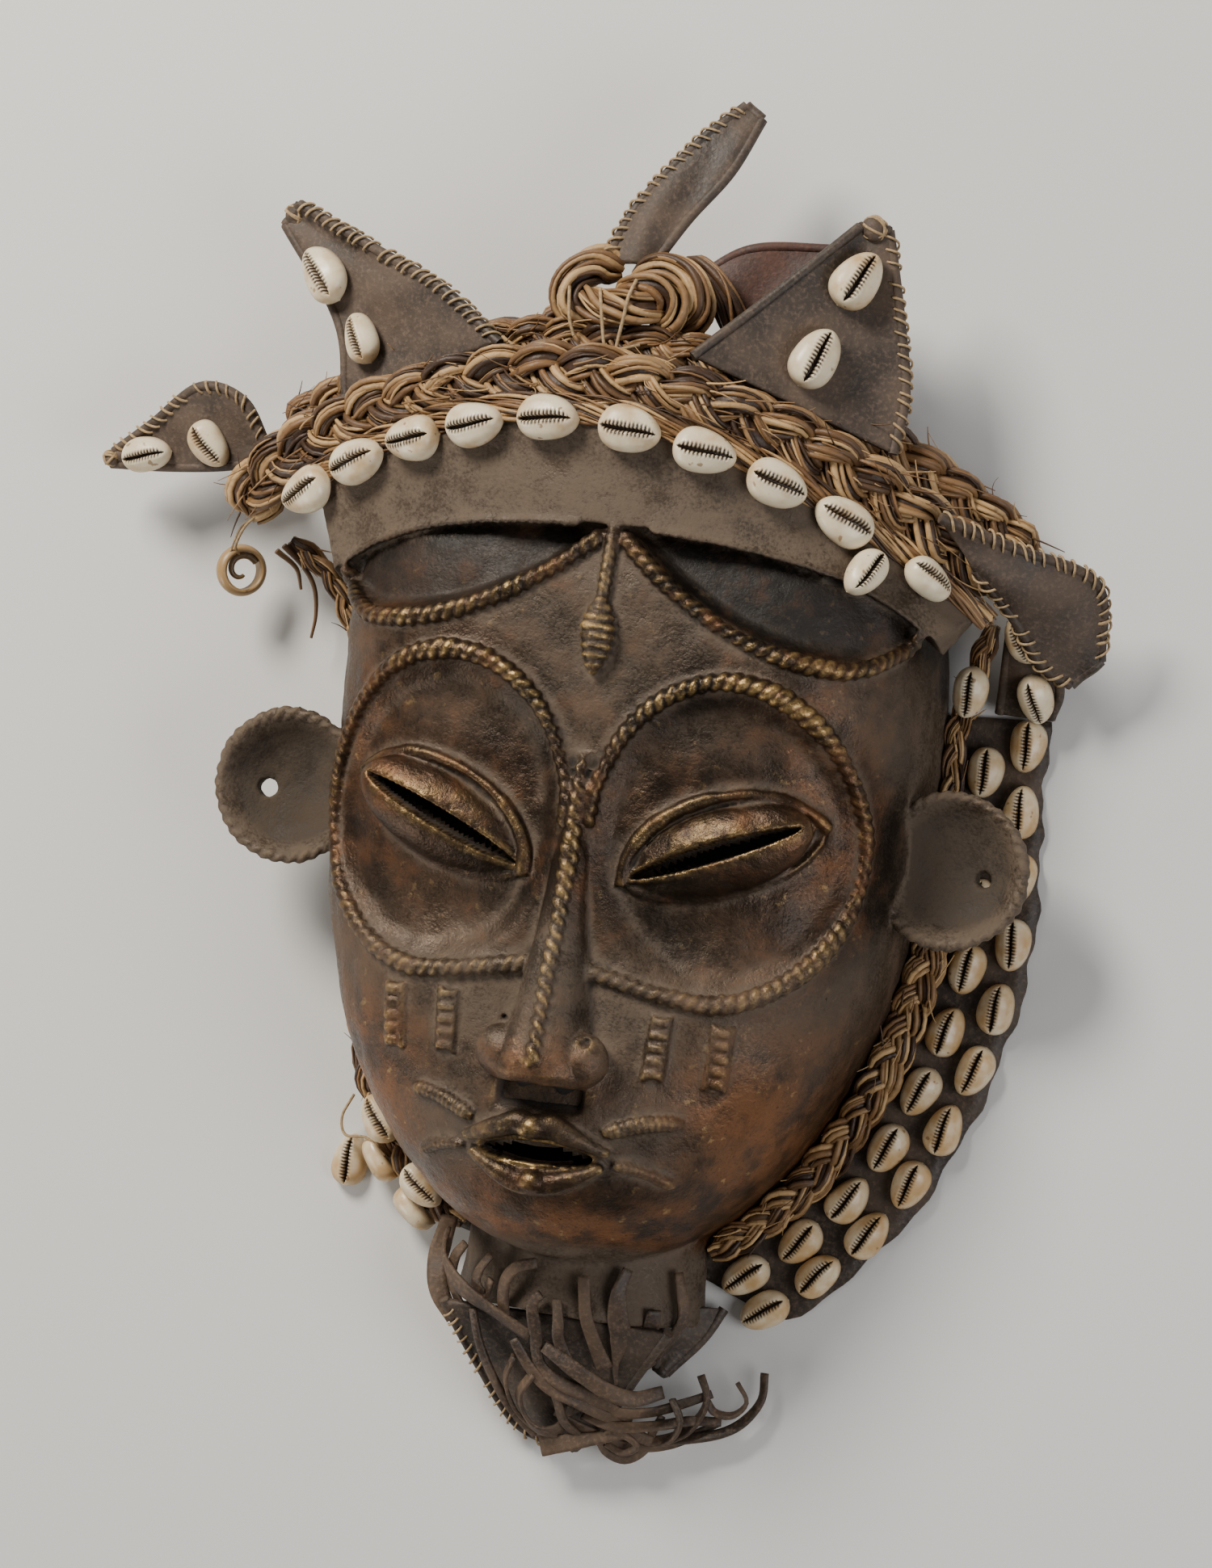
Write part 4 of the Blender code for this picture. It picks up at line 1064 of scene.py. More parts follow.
def sideRoute(side):
    top = ((108, 52, 9), (111, 64, 14), (115, 75, 19))
    if side < 0:
        top = ((108, 52, 9), (116, 66, 14), (129, 76, 20))
    route = [spot(side * x, y, z) for x, y, z in reversed(top)]
    thin = [thinness(side, 30)] * len(top)
    for angle in range(22, sidePlait["gap"] - 1, -sidePlait["step"]):
        radius = sidePlait["radius"] * thinness(side, angle)
        route.append(besideRim(side, radians(angle), radius + 0.0006, face["rim"] + radius)[0])
        thin.append(thinness(side, angle))
    return curved(route, 8), np.repeat(np.array(thin, float), 8)[:8 * (len(thin) - 1) + 1]


def archPlait(plait, route, seed):
    lines = braid(route, plait["halfWidth"], plait["period"], plait["fibres"], seed)
    return lines + strays(route, plait["straysFrom"], plait["strays"], seed + 1)


def plaits():
    across = (-135, -112, -86, -58, -30, 0, 30, 58, 84, 106, 118)
    lines = archPlait(browPlait, curved([spot(-143, 84, 24)] + [arch(x) for x in across]), 1)
    edge = [flangeEdge(x) for x in range(-126, 121, 6)]
    seam = np.array([e + down * 0.0012 + out * 0.0004 for e, down, _, out in edge])
    outward = unit(np.array([out for *_, out in edge]))
    for number, shift in enumerate((-2.6, 0.0, 2.4)):
        shifted = seam + np.array([down for _, down, *_ in edge]) * shift / 1000
        points, run = evenly(curved(shifted, 4), 0.002)
        at, known = np.linspace(0, 1, len(points)), np.linspace(0, 1, len(edge))
        way = np.column_stack([np.interp(at, known, outward[:, i]) for i in range(3)])
        _, way, across = framed(points, way)
        wide, thick = np.full(len(run), 0.0020), np.full(len(run), 0.0011)
        lines += bundle(points, way, across, wide, thick, 9, 0.00058, 130, 60 + number)
    place("brow_plait_look", tubes("brow_plait", lines), fibre, "plant_fibre", "brow_plait")
    reach = 9.5 + 7.8 + 3.0 + 1.5
    across = (-132, -108, -82, -56, -30, 0, 30, 56, 80, 104, 122)
    lines = archPlait(crownPlait, curved([arch(x, -reach * 0.82, reach * 0.57) for x in across]), 3)
    place("crown_plait_look", tubes("crown_plait", lines), fibre, "plant_fibre", "crown_plait")
    for side, name in ((1, "side_plait_right"), (-1, "side_plait_left")):
        route, thin = sideRoute(side)
        lines = braid(route, sidePlait["halfWidth"], sidePlait["period"], sidePlait["fibres"], 6 + side,
                      thin=thin)
        lines += strays(route, 0.0045 if side < 0 else 0.0062, sidePlait["strays"], 9 + side, 0.012)
        place(name + "_look", tubes(name, lines), fibre, "plant_fibre", name)


def rope(places, wide, thick, count, seed, twist=40):
    points, run = evenly(curved([spot(*p) for p in places]), 0.0018)
    _, out, side = framed(points)
    tip = np.minimum(1, 0.5 + np.minimum(run, run[-1] - run) / 0.008)
    # The core is darkened in tubes() as painted shade between the fibres
    core = (points, 0.75 * min(wide, thick) * tip / 1000)
    wide, thick = wide * tip / 1000, thick * tip / 1000
    return bundle(points, out, side, wide, thick, count, 0.001, twist, seed) + [core]


# Each loop: half its width and thickness, its fibres, their twist, and its places
knotLoops = (
    (5.6, 4.6, 16, 40, ((-16, 176, 55), (-23, 176, 58), (-28, 172, 61), (-30, 167, 63), (-29, 162, 63),
                        (-24, 159, 62))),
    (5.0, 3.6, 16, 90, ((-27, 165, 62), (-18, 163, 67), (-11, 163, 70), (-4, 163, 69), (2, 166, 62))),
    (4.8, 3.8, 14, 40, ((-13, 167, 62), (-7, 170, 66), (0, 171, 67), (5, 168, 66), (5, 162, 64),
                        (0, 157, 60))),
    (4.8, 4.2, 15, 40, ((-10, 173, 56), (-2, 177, 58), (6, 176, 60), (11, 172, 61), (13, 165, 59),
                        (9, 159, 56), (3, 155, 53))),
    (4.4, 3.6, 13, 40, ((4, 180, 50), (13, 176, 53), (19, 170, 53), (23, 163, 51), (26, 158, 47))),
    (3.6, 2.8, 10, 40, ((-34, 161, 58), (-37, 156, 57), (-30, 153, 59))),
)
knotStrings = (
    ((-29, 168, 68), (-28, 162, 69.5), (-27, 157, 70), (-25, 152, 70)),
    ((-18, 168, 70), (-16, 162, 73.5), (-15, 156, 73), (-13, 149, 73.5), (-9, 144, 72)),
    ((-6, 172, 71), (-7, 166, 74.5), (-8, 159, 74), (-9, 151, 74), (-10, 144, 72)),
    ((-20, 146, 71), (-13, 147, 75), (-7, 149, 74.5), (-2, 151, 72)),
)


def evenTube(places, radius):
    line = curved([spot(*p) for p in places])
    return line, np.full(len(line), radius)


def knot():
    lines = []
    for number, (wide, thick, count, twist, places) in enumerate(knotLoops):
        lines += rope(places, wide, thick, count, 21 + number, twist)
    place("crown_knot_look", tubes("crown_knot", lines), fibre, "plant_fibre", "crown_knot")
    strings = [evenTube(places, 0.0006) for places in knotStrings]
    place("knot_strings", tubes("knot_strings", strings), thread, "plant_fibre")


plaits()
knot()
print("plaits done")


# Cowries

def shellPoints(u, v, size, local):
    # u runs along the shell and v across it, each from -1 to 1; gives places, and the slit and the grooves
    # between its teeth painted dark as shade
    length, width, height = size
    bent = local.uniform(-0.05, 0.05)
    pear = local.uniform(0.10, 0.22)
    x = np.sign(u) * np.abs(np.sin(u * pi / 2)) ** 0.96
    spread = np.sqrt(np.maximum(1 - np.abs(x) ** 2.35, 0)) * (1 + pear * x)
    w = np.sign(v) * (0.42 * np.abs(v) + 0.58 * np.abs(v) ** 2.1)
    y = np.sin(w * pi / 2)
    rise = np.cos(w * pi / 2)
    lat = y * spread * width / 2 + bent * width * (1 - x * x)
    z = height * (0.18 + 0.82 * np.maximum(rise, 0) ** 0.72) * spread ** 0.42 * np.where(rise < 0, 0.3, 1)
    slitX = x / 0.90
    inside = np.clip(1 - slitX ** 6, 0, 1)
    offset = (lat - bent * width * (1 - x * x)) * 1000 - 0.45 * np.sin(x * 2.4)
    gape = 0.66 * (width / 0.0148) * inside * (1 + 0.35 * x)
    slit = ease((gape - np.abs(offset)) / 0.5 + 0.4) * (inside > 0.01)
    teeth = 0.5 + 0.5 * np.cos(x * length * 1000 / 2 * 2 * pi / (1.30 * length / 0.0205))
    reach = np.where(offset < 0, 3.1, 2.7) * (width / 0.0148) * inside
    belt = ease((reach - np.abs(offset)) / 1.2) * (1 - slit) * (inside > 0.05)
    lip = np.exp(-((np.abs(offset) - gape - 1.1) / 1.1) ** 2) * inside
    z = z - 0.0026 * slit + 0.00040 * lip - 0.00040 * belt * (1 - teeth)
    # Painted shade: the slit and the grooves between the teeth are dark
    shadeAndTone = np.clip(slit + belt * ease((0.85 - teeth) / 0.45), 0, 1)
    return np.column_stack([x * length / 2, lat, z]), shadeAndTone


def shellMesh(name, seat, along, out, size, seed, fineness=1.0, aged=0.2):
    local = np.random.default_rng(seed)
    across = int(30 * fineness)
    lengthwise = int(78 * fineness)
    bm = bmesh.new()
    bmesh.ops.create_grid(bm, x_segments=lengthwise, y_segments=across, size=1)
    points = np.array([v.co for v in bm.verts])
    edge = [e for e in bm.edges if e.is_boundary]
    bmesh.ops.extrude_edge_only(bm, edges=edge)
    bmesh.ops.contextual_create(bm, geom=[e for e in bm.edges if e.is_boundary])
    mesh = meshOf(name, bm)
    grid = coordinates(mesh)
    isFoot = np.zeros(len(grid), bool)
    isFoot[len(points):] = True
    size = [s * local.uniform(0.96, 1.02) for s in size]
    places, shadeAndTone = shellPoints(grid[:, 0], grid[:, 1], size, local)
    places[isFoot, 2] = 0
    places[isFoot, :2] *= 0.86
    shadeAndTone[isFoot] = 0
    places[:, :2] *= local.choice([-1, 1])
    out = (out - along * out.dot(along) / along.dot(along)).normalized()
    along = along.normalized()
    side = out.cross(along)
    turn = np.array([along, side, out])
    setCoordinates(mesh, places @ turn + np.array(seat))
    setAttribute(mesh, "shadeAndTone", shadeAndTone)
    setAttribute(mesh, "aged", np.full(len(grid), aged + local.uniform(-0.12, 0.12)))
    return mesh


# Length, width and height in metres
browShell = (0.0205, 0.0148, 0.0080)
pointShell = (0.0215, 0.0150, 0.0080)
collarShell = (0.0175, 0.0120, 0.0072)


def browShells():
    for number, x in enumerate((-119, -98, -76, -52, -25, 3, 28, 52, 74, 102, 88)):
        edge, down, along, out = flangeEdge(x)
        name = f"brow_cowrie_{number + 1:02d}"
        drop, size, lift = 0.0050, browShell, 0.0006
        if number >= 9:
            drop, size, lift = (0.0070, 0.0175)[number - 9], collarShell, 0.0018
        lean = (along + down * rng.uniform(-0.14, 0.14)).normalized() if number < 10 else down
        mesh = shellMesh(name, edge + down * drop + out * lift, lean, out, size, 100 + number, 1.25, 0.16)
        place(name + "_look", mesh, ivory, "cowrie", name)


def collarShells():
    up = Vector((0, 0, 1))
    for row, track, first, count in (("outer", 2, 20, 11), ("inner", 1, 15, 10)):
        for number, (point, along) in enumerate(rowBesideRim(1, track, 0.0022, first, -72, count)):
            name = f"{row}_cowrie_{number + 1:02d}"
            seat = Vector((point.x, point.y, 0.0022 + 0.0003))
            turn = Matrix.Rotation(rng.uniform(-0.12, 0.12), 3, "Z")
            seed = 200 + number + 50 * (row == "inner")
            mesh = shellMesh(name, seat, turn @ along, up, collarShell, seed, 1.0, 0.50)
            place(name + "_look", mesh, ivory, "cowrie", *([name] if number >= 4 else []))
    height = face["rim"] + sidePlait["radius"] * 1.8
    for number, (point, along) in enumerate(rowBesideRim(-1, 0, height, -58, -68, 2)):
        seat = point + Vector((0, 0, 0.001))
        mesh = shellMesh("left row", seat, along, up, collarShell, 300 + number, 0.8, 0.35)
        place(f"left_row_cowrie_{number + 1:02d}", mesh, ivory, "cowrie")


browShells()
collarShells()
print("shells done")


# Leather

def sideLine(corners, count=80):
    route = curved([Vector((x, y, 0)) for x, y in corners], 10)
    return evenly(route, np.sum(np.linalg.norm(np.diff(route, axis=0), axis=1)) / count)[0][:, :2]


class Slope:
    def __init__(self, places):
        a, b, c = (spot(*p) for p in places)
        normal = (b - a).cross(c - a).normalized()
        self.anchor, self.normal = a, normal if normal.z > 0 else -normal

    def height(self, x, y):
        n, a = self.normal, self.anchor
        return a.z - (n.x * (x - a.x) + n.y * (y - a.y)) / n.z


def leatherSheet(name, sheet):
    # A sewn piece between two edges that run from its base to its tip
    slope, seed, material = Slope(sheet["plane"]), sheet["seed"], sheet["leather"]
    a, b = sideLine(sheet["a"]), sideLine(sheet["b"])
    t = np.linspace(0, 1, len(a)), np.linspace(0, 1, len(b))

    def at(u, v):
        ax, ay = np.interp(v, t[0], a[:, 0]), np.interp(v, t[0], a[:, 1])
        bx, by = np.interp(v, t[1], b[:, 0]), np.interp(v, t[1], b[:, 1])
        flat = spots(ax + (bx - ax) * u, ay + (by - ay) * u, 0)
        flat[:, 2] = slope.height(flat[:, 0], flat[:, 1])
        lift = sheet["bulge"] * np.sin(pi * u) * np.sin(pi * np.clip(v, 0, 1) ** 0.8)
        lift = lift + 0.7 * np.sin(v * 9 + seed + 3 * u) * np.sin(pi * u)
        lift = lift + 0.5 * np.sin(u * 7 + seed * 2 + v * 5)
        return flat + np.array(slope.normal) * (lift / 1000)[:, None]

    bm = bmesh.new()
    bmesh.ops.create_grid(bm, x_segments=26, y_segments=52, size=0.5)
    mesh = meshOf(name, bm)
    grid = coordinates(mesh)
    setCoordinates(mesh, at(grid[:, 0] + 0.5, grid[:, 1] + 0.5))
    mesh = evaluated(name, mesh, ("SOLIDIFY", {"thickness": 0.0022, "offset": 0.0}))
    mesh.shade_smooth()
    place(name + "_look", mesh, material, "dark_leather", *([name] if sheet.get("replaces", True) else []))
    v = np.linspace(0.0, 1, 60)
    edges = {"a": at(np.zeros(60), v), "b": at(np.ones(60), v)}
    edges["t"] = at(np.linspace(0, 1, 60), np.ones(60))
    lines = [(edges[key], np.full(60, 0.0018)) for key in edges]
    place(name + "_edge", tubes(name + "_edge", lines, 2), material, "dark_leather")
    loops = []
    local = np.random.default_rng(seed + 40)
    normal = np.array(slope.normal)
    for key in sheet.get("stitches", ""):
        line = evenly(edges[key], 0.0038)[0]
        along = unit(np.gradient(line, axis=0))
        inward = np.cross(normal, along) * (1 if key == "b" else -1)
        for index in range(1, len(line) - 1):
            if local.random() < 0.07:
                continue
            turns = np.linspace(-0.6, 2.7, 10)[:, None] + local.uniform(-0.25, 0.25)
            radius = 0.0023 * local.uniform(0.95, 1.15)
            slant = (turns - 1) * local.uniform(0.0007, 0.0016) + local.uniform(-0.0005, 0.0005)
            loop = line[index] + inward[index] * radius * np.cos(turns) * -1
            loop = loop + normal * radius * np.sin(turns) + along[index] * slant
            loops.append((loop, np.full(10, local.uniform(0.00040, 0.00056))))
    if loops:
        place(name + "_stitches", tubes(name + "_stitches", loops, 0), thread, "plant_fibre")
    return slope, at


def shellsOn(slope, shells):
    for number, (name, x, y, turn, size) in enumerate(shells):
        flat = spot(x, y, 0)
        n = slope.normal
        seat = Vector((flat.x, flat.y, slope.height(flat.x, flat.y))) + n * 0.0018
        along = Vector((cos(radians(turn)), sin(radians(turn)), 0))
        along.z = -(n.x * along.x + n.y * along.y) / n.z
        mesh = shellMesh(name, seat, along, n, size, 400 + len(name) * 7 + number, 1.0, 0.2)
        place(name + "_look", mesh, ivory, "cowrie", name)


def boundTip(name, centre, radius, seed):
    # A leather knot with a few turns of thread
    lines = []
    local = np.random.default_rng(seed)
    for _ in range(4):
        turns = np.linspace(0, 2 * pi, 20)
        axis = local.normal(size=3)
        axis /= np.linalg.norm(axis)
        one = np.cross(axis, [0.3, 0.5, 0.8])
        one /= np.linalg.norm(one)
        two = np.cross(axis, one)
        ring = np.cos(turns)[:, None] * one + np.sin(turns)[:, None] * two
        lines.append((np.array(centre) + radius / 1000 * ring, np.full(20, 0.00048)))
    place(name + "_thread", tubes(name + "_thread", lines, 2), thread, "plant_fibre")
    core = ballMesh(Vector(centre), (radius, radius * 1.1, radius * 0.95))
    points = coordinates(core)
    setCoordinates(core, points + normalsOf(core) * (0.0006 * lumps(points, 0.006, seed))[:, None])
    place(name, core, darkLeather, "dark_leather")


# Each piece: its edges from base to tip, three places of its plane, its bulge in millimetres, and the edges
# with stitches; then its shells, and the radius and seed of the knot at its tip
sheets = {
    "left_point": {
        "leather": darkLeather, "bulge": -1.5, "seed": 1, "stitches": "b",
        "a": ((-107, 125), (-114, 150), (-139, 181)),
        "b": ((-50, 147), (-74, 163), (-98, 173), (-134, 188)),
        "plane": ((-105, 122, 47), (-48, 143, 69), (-135, 182, 38)),
        "shells": (("left_point_cowrie_01", -119, 165, -52, pointShell),
                   ("left_point_cowrie_02", -101, 145, -66, collarShell)),
        "tip": (3.6, 5),
    },
    "right_point": {
        "leather": darkLeather, "bulge": -1.5, "seed": 2, "stitches": "b",
        "a": ((17, 149), (40, 174), (61, 198)),
        "b": ((81, 126), (82, 146), (77, 170), (70, 198)),
        "plane": ((18, 146, 75), (80, 123, 51), (66, 195, 49)),
        "shells": (("right_point_cowrie_01", 62, 180, 62, pointShell),
                   ("right_point_cowrie_02", 53, 153, 68, pointShell)),
        "tip": (4.2, 6),
    },
    "left_flap": {
        "leather": darkLeather, "bulge": 0.5, "seed": 3, "stitches": "a",
        "a": ((-140, 107), (-149, 121), (-165, 124), (-182, 110), (-196, 99)),
        "b": ((-140, 104), (-152, 99), (-176, 96), (-197, 95)),
        "plane": ((-138, 108, 27), (-165, 124, 29), (-197, 97, 21)),
        "shells": (("left_flap_cowrie_01", -182, 100, 12, collarShell),
                   ("left_flap_cowrie_02", -159, 106, -50, collarShell)),
        "tip": (2.6, 7),
    },
    "right_flap": {
        "leather": darkLeather, "bulge": 2.0, "seed": 4, "stitches": "ab",
        "a": ((101, 107), (124, 100), (149, 92), (151, 68)),
        "b": ((112, 92), (124, 78), (133, 64), (142, 59)),
        "plane": ((104, 104, 57), (148, 90, 29), (142, 60, 17)),
    },
    "top_flap": {
        "leather": darkLeather, "bulge": 1.5, "seed": 5, "stitches": "a",
        "a": ((-21, 178), (-14, 198), (2, 221), (15, 235)),
        "b": ((-6, 178), (3, 195), (14, 212), (21, 231)),
        "plane": ((-21, 181, 56), (-5, 181, 54), (17, 233, 38)),
    },
    "back_flap": {
        "leather": redLeather, "bulge": 1.5, "seed": 6, "stitches": "b",
        "a": ((6, 176), (24, 188), (52, 191)),
        "b": ((24, 160), (50, 164), (64, 172)),
        "plane": ((6, 176, 43), (24, 160, 43), (60, 185, 39)),
    },
    "chin_pouch": {
        "leather": darkLeather, "bulge": 3.0, "seed": 7, "stitches": "a",
        "a": ((-40, -169.4), (-30, -190), (-18, -210), (-3, -216)),
        "b": ((38, -169.4), (26, -187), (14, -205), (3, -216)),
        "plane": ((-40, -171, 30), (38, -171, 30), (0, -216, 1)),
    },
    "collar_tab": {
        "leather": darkLeather, "bulge": 0.8, "seed": 9, "replaces": False,
        "a": ((33, -163), (31, -172), (30, -184)),
        "b": ((49, -162), (43, -173), (33, -186)),
        "plane": ((33, -163, 12), (49, -162, 3), (31, -184, 9)),
    },
    "temple_strap": {
        "leather": darkLeather, "bulge": 0.5, "seed": 8,
        "a": ((117, 47), (119, 62), (121, 77)),
        "b": ((134, 47), (137, 58), (131, 77)),
        "plane": ((116, 45, 1), (134, 45, 1), (128, 76, 20)),
        "shells": (("temple_cowrie_01", 126, 74, -62, collarShell),
                   ("temple_cowrie_02", 130, 55, -75, collarShell)),
    },
}


def leatherWork():
    for name, sheet in sheets.items():
        slope, at = leatherSheet(name, sheet)
        shellsOn(slope, sheet.get("shells", ()))
        if "tip" in sheet:
            boundTip(name + "_tip", at(np.array([0.5]), np.array([1.0]))[0], *sheet["tip"])
    seat = spot(109, 53, 10) + Vector((0, 0, sidePlait["radius"] * 0.72))
    mesh = shellMesh("temple", seat, Vector((0.15, 1, 0.25)), Vector((0, 0, 1)), collarShell, 470, 1.0, 0.3)
    place("temple_cowrie_03_look", mesh, ivory, "cowrie", "temple_cowrie_03")


def collarBand():
    # The leather that the side rows are sewn on, closed round the chin
    angles, sides, reaches = [], [], []
    for side, run in ((1, np.linspace(24, -90, 90)), (-1, np.linspace(-88.7, 24, 89))):
        for angle in run:
            reach = (2 * sidePlait["radius"] * thinness(side, angle) + (0.0272 if side > 0 else 0)) * 1000
            reach += (10 - reach) * float(ease((-70 - angle) / 8))
            angles.append(angle), sides.append(side), reaches.append(reach)
    count = len(angles)
    bm = bmesh.new()
    bmesh.ops.create_grid(bm, x_segments=count - 1, y_segments=10, size=0.5)
    mesh = meshOf("cowrie_band", bm)
    grid = coordinates(mesh)
    index = np.rint((grid[:, 0] + 0.5) * (count - 1)).astype(int)
    share = grid[:, 1] + 0.5
    made = []
    for i, s in zip(index, share):
        wave = 0.7 * sin(i * 0.55) + 0.5 * sin(i * 1.3 + 1) - 0.5
        offset = -8 + (reaches[i] + wave * s - -8) * s
        lift = 1.1 + (0.5 * sin(i * 0.4) + 0.5) * max(0, s - 0.5) * 1.2
        point, _ = besideRim(sides[i], radians(angles[i]), offset / 1000, lift / 1000)
        made.append(point)
    setCoordinates(mesh, np.array(made))
    mesh = evaluated("cowrie_band", mesh, ("SOLIDIFY", {"thickness": 0.0020, "offset": 0.0}))
    mesh.shade_smooth()
    place("cowrie_band_look", mesh, darkLeather, "dark_leather", "cowrie_band")


leatherWork()
collarBand()
print("leather done")


# Loose shells, threads and the thongs under the chin

# Radius and places of each loose thread, and the places of each strip of plait
threadRoutes = (
    (0.0005, ((-139, 84, 27), (-143, 79, 29), (-147, 72, 25), (-147, 69, 20))),
    (0.0004, ((-140, 83, 27), (-145, 78, 28), (-149, 70, 24))),
    (0.0005, ((-87, -108, 8), (-90, -116, 9), (-88, -122, 9), (-80, -122, 10), (-73, -127, 10))),
)
stripRoutes = (
    ((-131, 74, 22), (-125, 68, 17), (-121, 61, 14), (-120, 52, 12), (-121, 44, 11)),
    ((-134, 72, 20), (-128, 67, 15), (-126, 60, 13)),
)


def looseThings():
    floor = Vector((0, 0, 0.0003 - face["rim"]))
    mesh = shellMesh("loose_cowrie_01", spot(-88, -131, 0) + floor, Vector((0.1, 1, 0)), Vector((0, 0, 1)),
                     collarShell, 501, 1.0, 0.5)
    place("loose_cowrie_01_look", mesh, ivory, "cowrie", "loose_cowrie_01")
    for number, angle in ((2, -62), (3, -69)):
        seat, along = besideRim(-1, radians(angle), 0.0139, face["rim"] + sidePlait["radius"])
        out = Vector((along.y, -along.x, 0))
        mesh = shellMesh("loose", seat, along, out, collarShell, 510 + number, 1.0, 0.5)
        place(f"loose_cowrie_{number:02d}_look", mesh, ivory, "cowrie", f"loose_cowrie_{number:02d}")
    profile = ((6.4, -3), (7.6, -2.6), (8.6, -1.5), (8.9, 0), (8.6, 1.5), (7.6, 2.6), (6.4, 3), (6.9, 0))
    bm = turned(profile, 1, 56, 0.0001)
    bmesh.ops.rotate(bm, matrix=Matrix.Rotation(radians(40), 3, "Y"), verts=bm.verts)
    bmesh.ops.translate(bm, vec=spot(-146, 64, 19), verts=bm.verts)
    mesh = meshOf("broken_cowrie", bm)
    setAttribute(mesh, "shadeAndTone", np.full(len(mesh.vertices), 0.35))
    setAttribute(mesh, "aged", np.full(len(mesh.vertices), 0.9))
    place("broken_cowrie_look", mesh, ivory, "cowrie", "broken_cowrie")
    turns = np.linspace(0, 1.5 * pi, 30)
    whorl = [spot(-146 + (6.0 - 0.9 * t) * cos(t + 0.6) * 0.77, 64 + (6.0 - 0.9 * t) * sin(t + 0.6),
                  19 - (6.0 - 0.9 * t) * cos(t + 0.6) * 0.64) for t in turns]
    inner = tubes("whorl", [(np.array(whorl), np.linspace(0.0014, 0.0007, 30))], 2)
    setAttribute(inner, "shadeAndTone", np.full(len(inner.vertices), 0.7))
    setAttribute(inner, "aged", np.full(len(inner.vertices), 0.9))
    place("broken_cowrie_whorl", inner, ivory, "cowrie")
    threads = [evenTube(places, radius) for radius, places in threadRoutes]
    place("loose_threads", tubes("loose_threads", threads), thread, "plant_fibre")
    strips = []
    for places in stripRoutes:
        line = curved([spot(*p) for p in places])
        strips.append((line, 0.0011 * np.linspace(1, 0.45, len(line))))
    place("loose_strips", tubes("loose_strips", strips), fibre, "plant_fibre")


def ribbonMesh(wide, thick, route, lean=0.0, widths=(0.8, 1, 1, 0.8), out=(0, 0, 1)):
    # A flat thong, its width given at even steps as shares
    points, run = evenly(curved([spot(*p) for p in route]), 0.0015)
    _, out, side = framed(points, out)
    share = run / run[-1]
    turn = lean + 0.22 * np.sin(run * 210 + lean * 5 + route[0][0])
    flat = (side * np.cos(turn)[:, None] + out * np.sin(turn)[:, None])
    up = out * np.cos(turn)[:, None] - side * np.sin(turn)[:, None]
    half = np.interp(share, np.linspace(0, 1, len(widths)), widths) * wide / 2000
    low = thick / 2000
    corners = ((-1, 0), (-0.93, 0.8), (-0.5, 1), (0.5, 1), (0.93, 0.8), (1, 0), (0.93, -0.8), (0.5, -1),
               (-0.5, -1), (-0.93, -0.8))
    sections = []
    for point, a, b, h in zip(points, flat, up, half):
        sections.append([point + a * (h * u) + b * (low * v) for u, v in corners])
    return loftMesh(sections)


# Each thong of the tassel: width, thickness and places, then its lean in radians and its widths as shares
tasselThongs = (
    (5.6, 1.8, ((-3, -180, 34), (3, -183, 34), (10, -187, 33), (19, -192, 29), (27, -194, 23),
     (35, -191, 17)), 0, (0.7, 1, 1.05, 1, 0.8)),
    (4.6, 1.4, ((-4, -162, 42), (-7, -166, 41), (-6, -175, 36), (-5, -186, 30), (2, -192, 27),
     (13, -196, 22), (23, -202, 13)), 0, (0.7, 1, 0.9, 1, 1, 0.7)),
    (4.2, 1.4, ((-14, -179, 33), (-9, -187, 30), (-2, -194, 27), (8, -198, 23), (17, -202, 17),
     (24, -203, 11))),
    (4.4, 1.4, ((-7, -190, 29), (-12, -198, 25), (-10, -206, 20), (-5, -210, 17), (1, -208, 15),
     (4, -200, 17)), 0.9),
    (3.8, 1.4, ((-14, -185, 30), (-17, -194, 26), (-14, -204, 20), (-8, -210, 15), (0, -212, 12)), 1.1),
    (3.8, 1.4, ((-2, -192, 27), (1, -199, 23), (3, -206, 18), (8, -211, 12)), 0.7),
    (6.2, 2.2, ((-6, -216, 10), (4, -213, 13), (14, -210, 14), (23, -207, 13), (31, -209, 8)),
     0, (1.2, 1, 0.7, 0.7, 0.6)),
    (3.2, 1.4, ((13, -210, 11), (16, -215, 8), (22, -217, 5), (28, -213, 5), (31, -206, 8),
     (34, -200, 10)), 0.6),
    (2.8, 1.4, ((16, -210, 14), (19, -206, 15), (24, -208, 14), (27, -211, 12), (22, -214, 10),
     (16, -212, 10)), 0.5),
    (3.4, 1.4, ((38, -193, 15), (41, -200, 13), (38, -207, 9), (31, -210, 6), (22, -210, 6)), 0.8),
    (3.8, 1.4, ((46, -184, 12), (49, -191, 12), (47, -198, 10), (41, -205, 8), (30, -209, 7),
     (18, -206, 11)), 0.7),
    (3.0, 1.4, ((58, -185, 9), (62, -191, 9), (58, -196, 9), (52, -196, 10), (49, -192, 12)), 1.0),
    (3.6, 1.4, ((66, -181, 5), (66, -190, 5), (61, -198, 5), (54, -203, 6), (42, -207, 6),
     (30, -210, 5)), 0.5),
    (3.8, 1.4, ((8, -203, 15), (20, -205, 16), (33, -203, 13), (44, -200, 10), (54, -199, 8)), -0.5),
    (3.6, 1.4, ((6, -196, 21), (18, -200, 17), (30, -199, 13), (42, -194, 11), (50, -190, 9)), 0.4),
    (3.4, 1.4, ((-1, -203, 17), (10, -208, 13), (24, -212, 7), (38, -209, 4.5), (52, -200, 4)), 0.3),
)
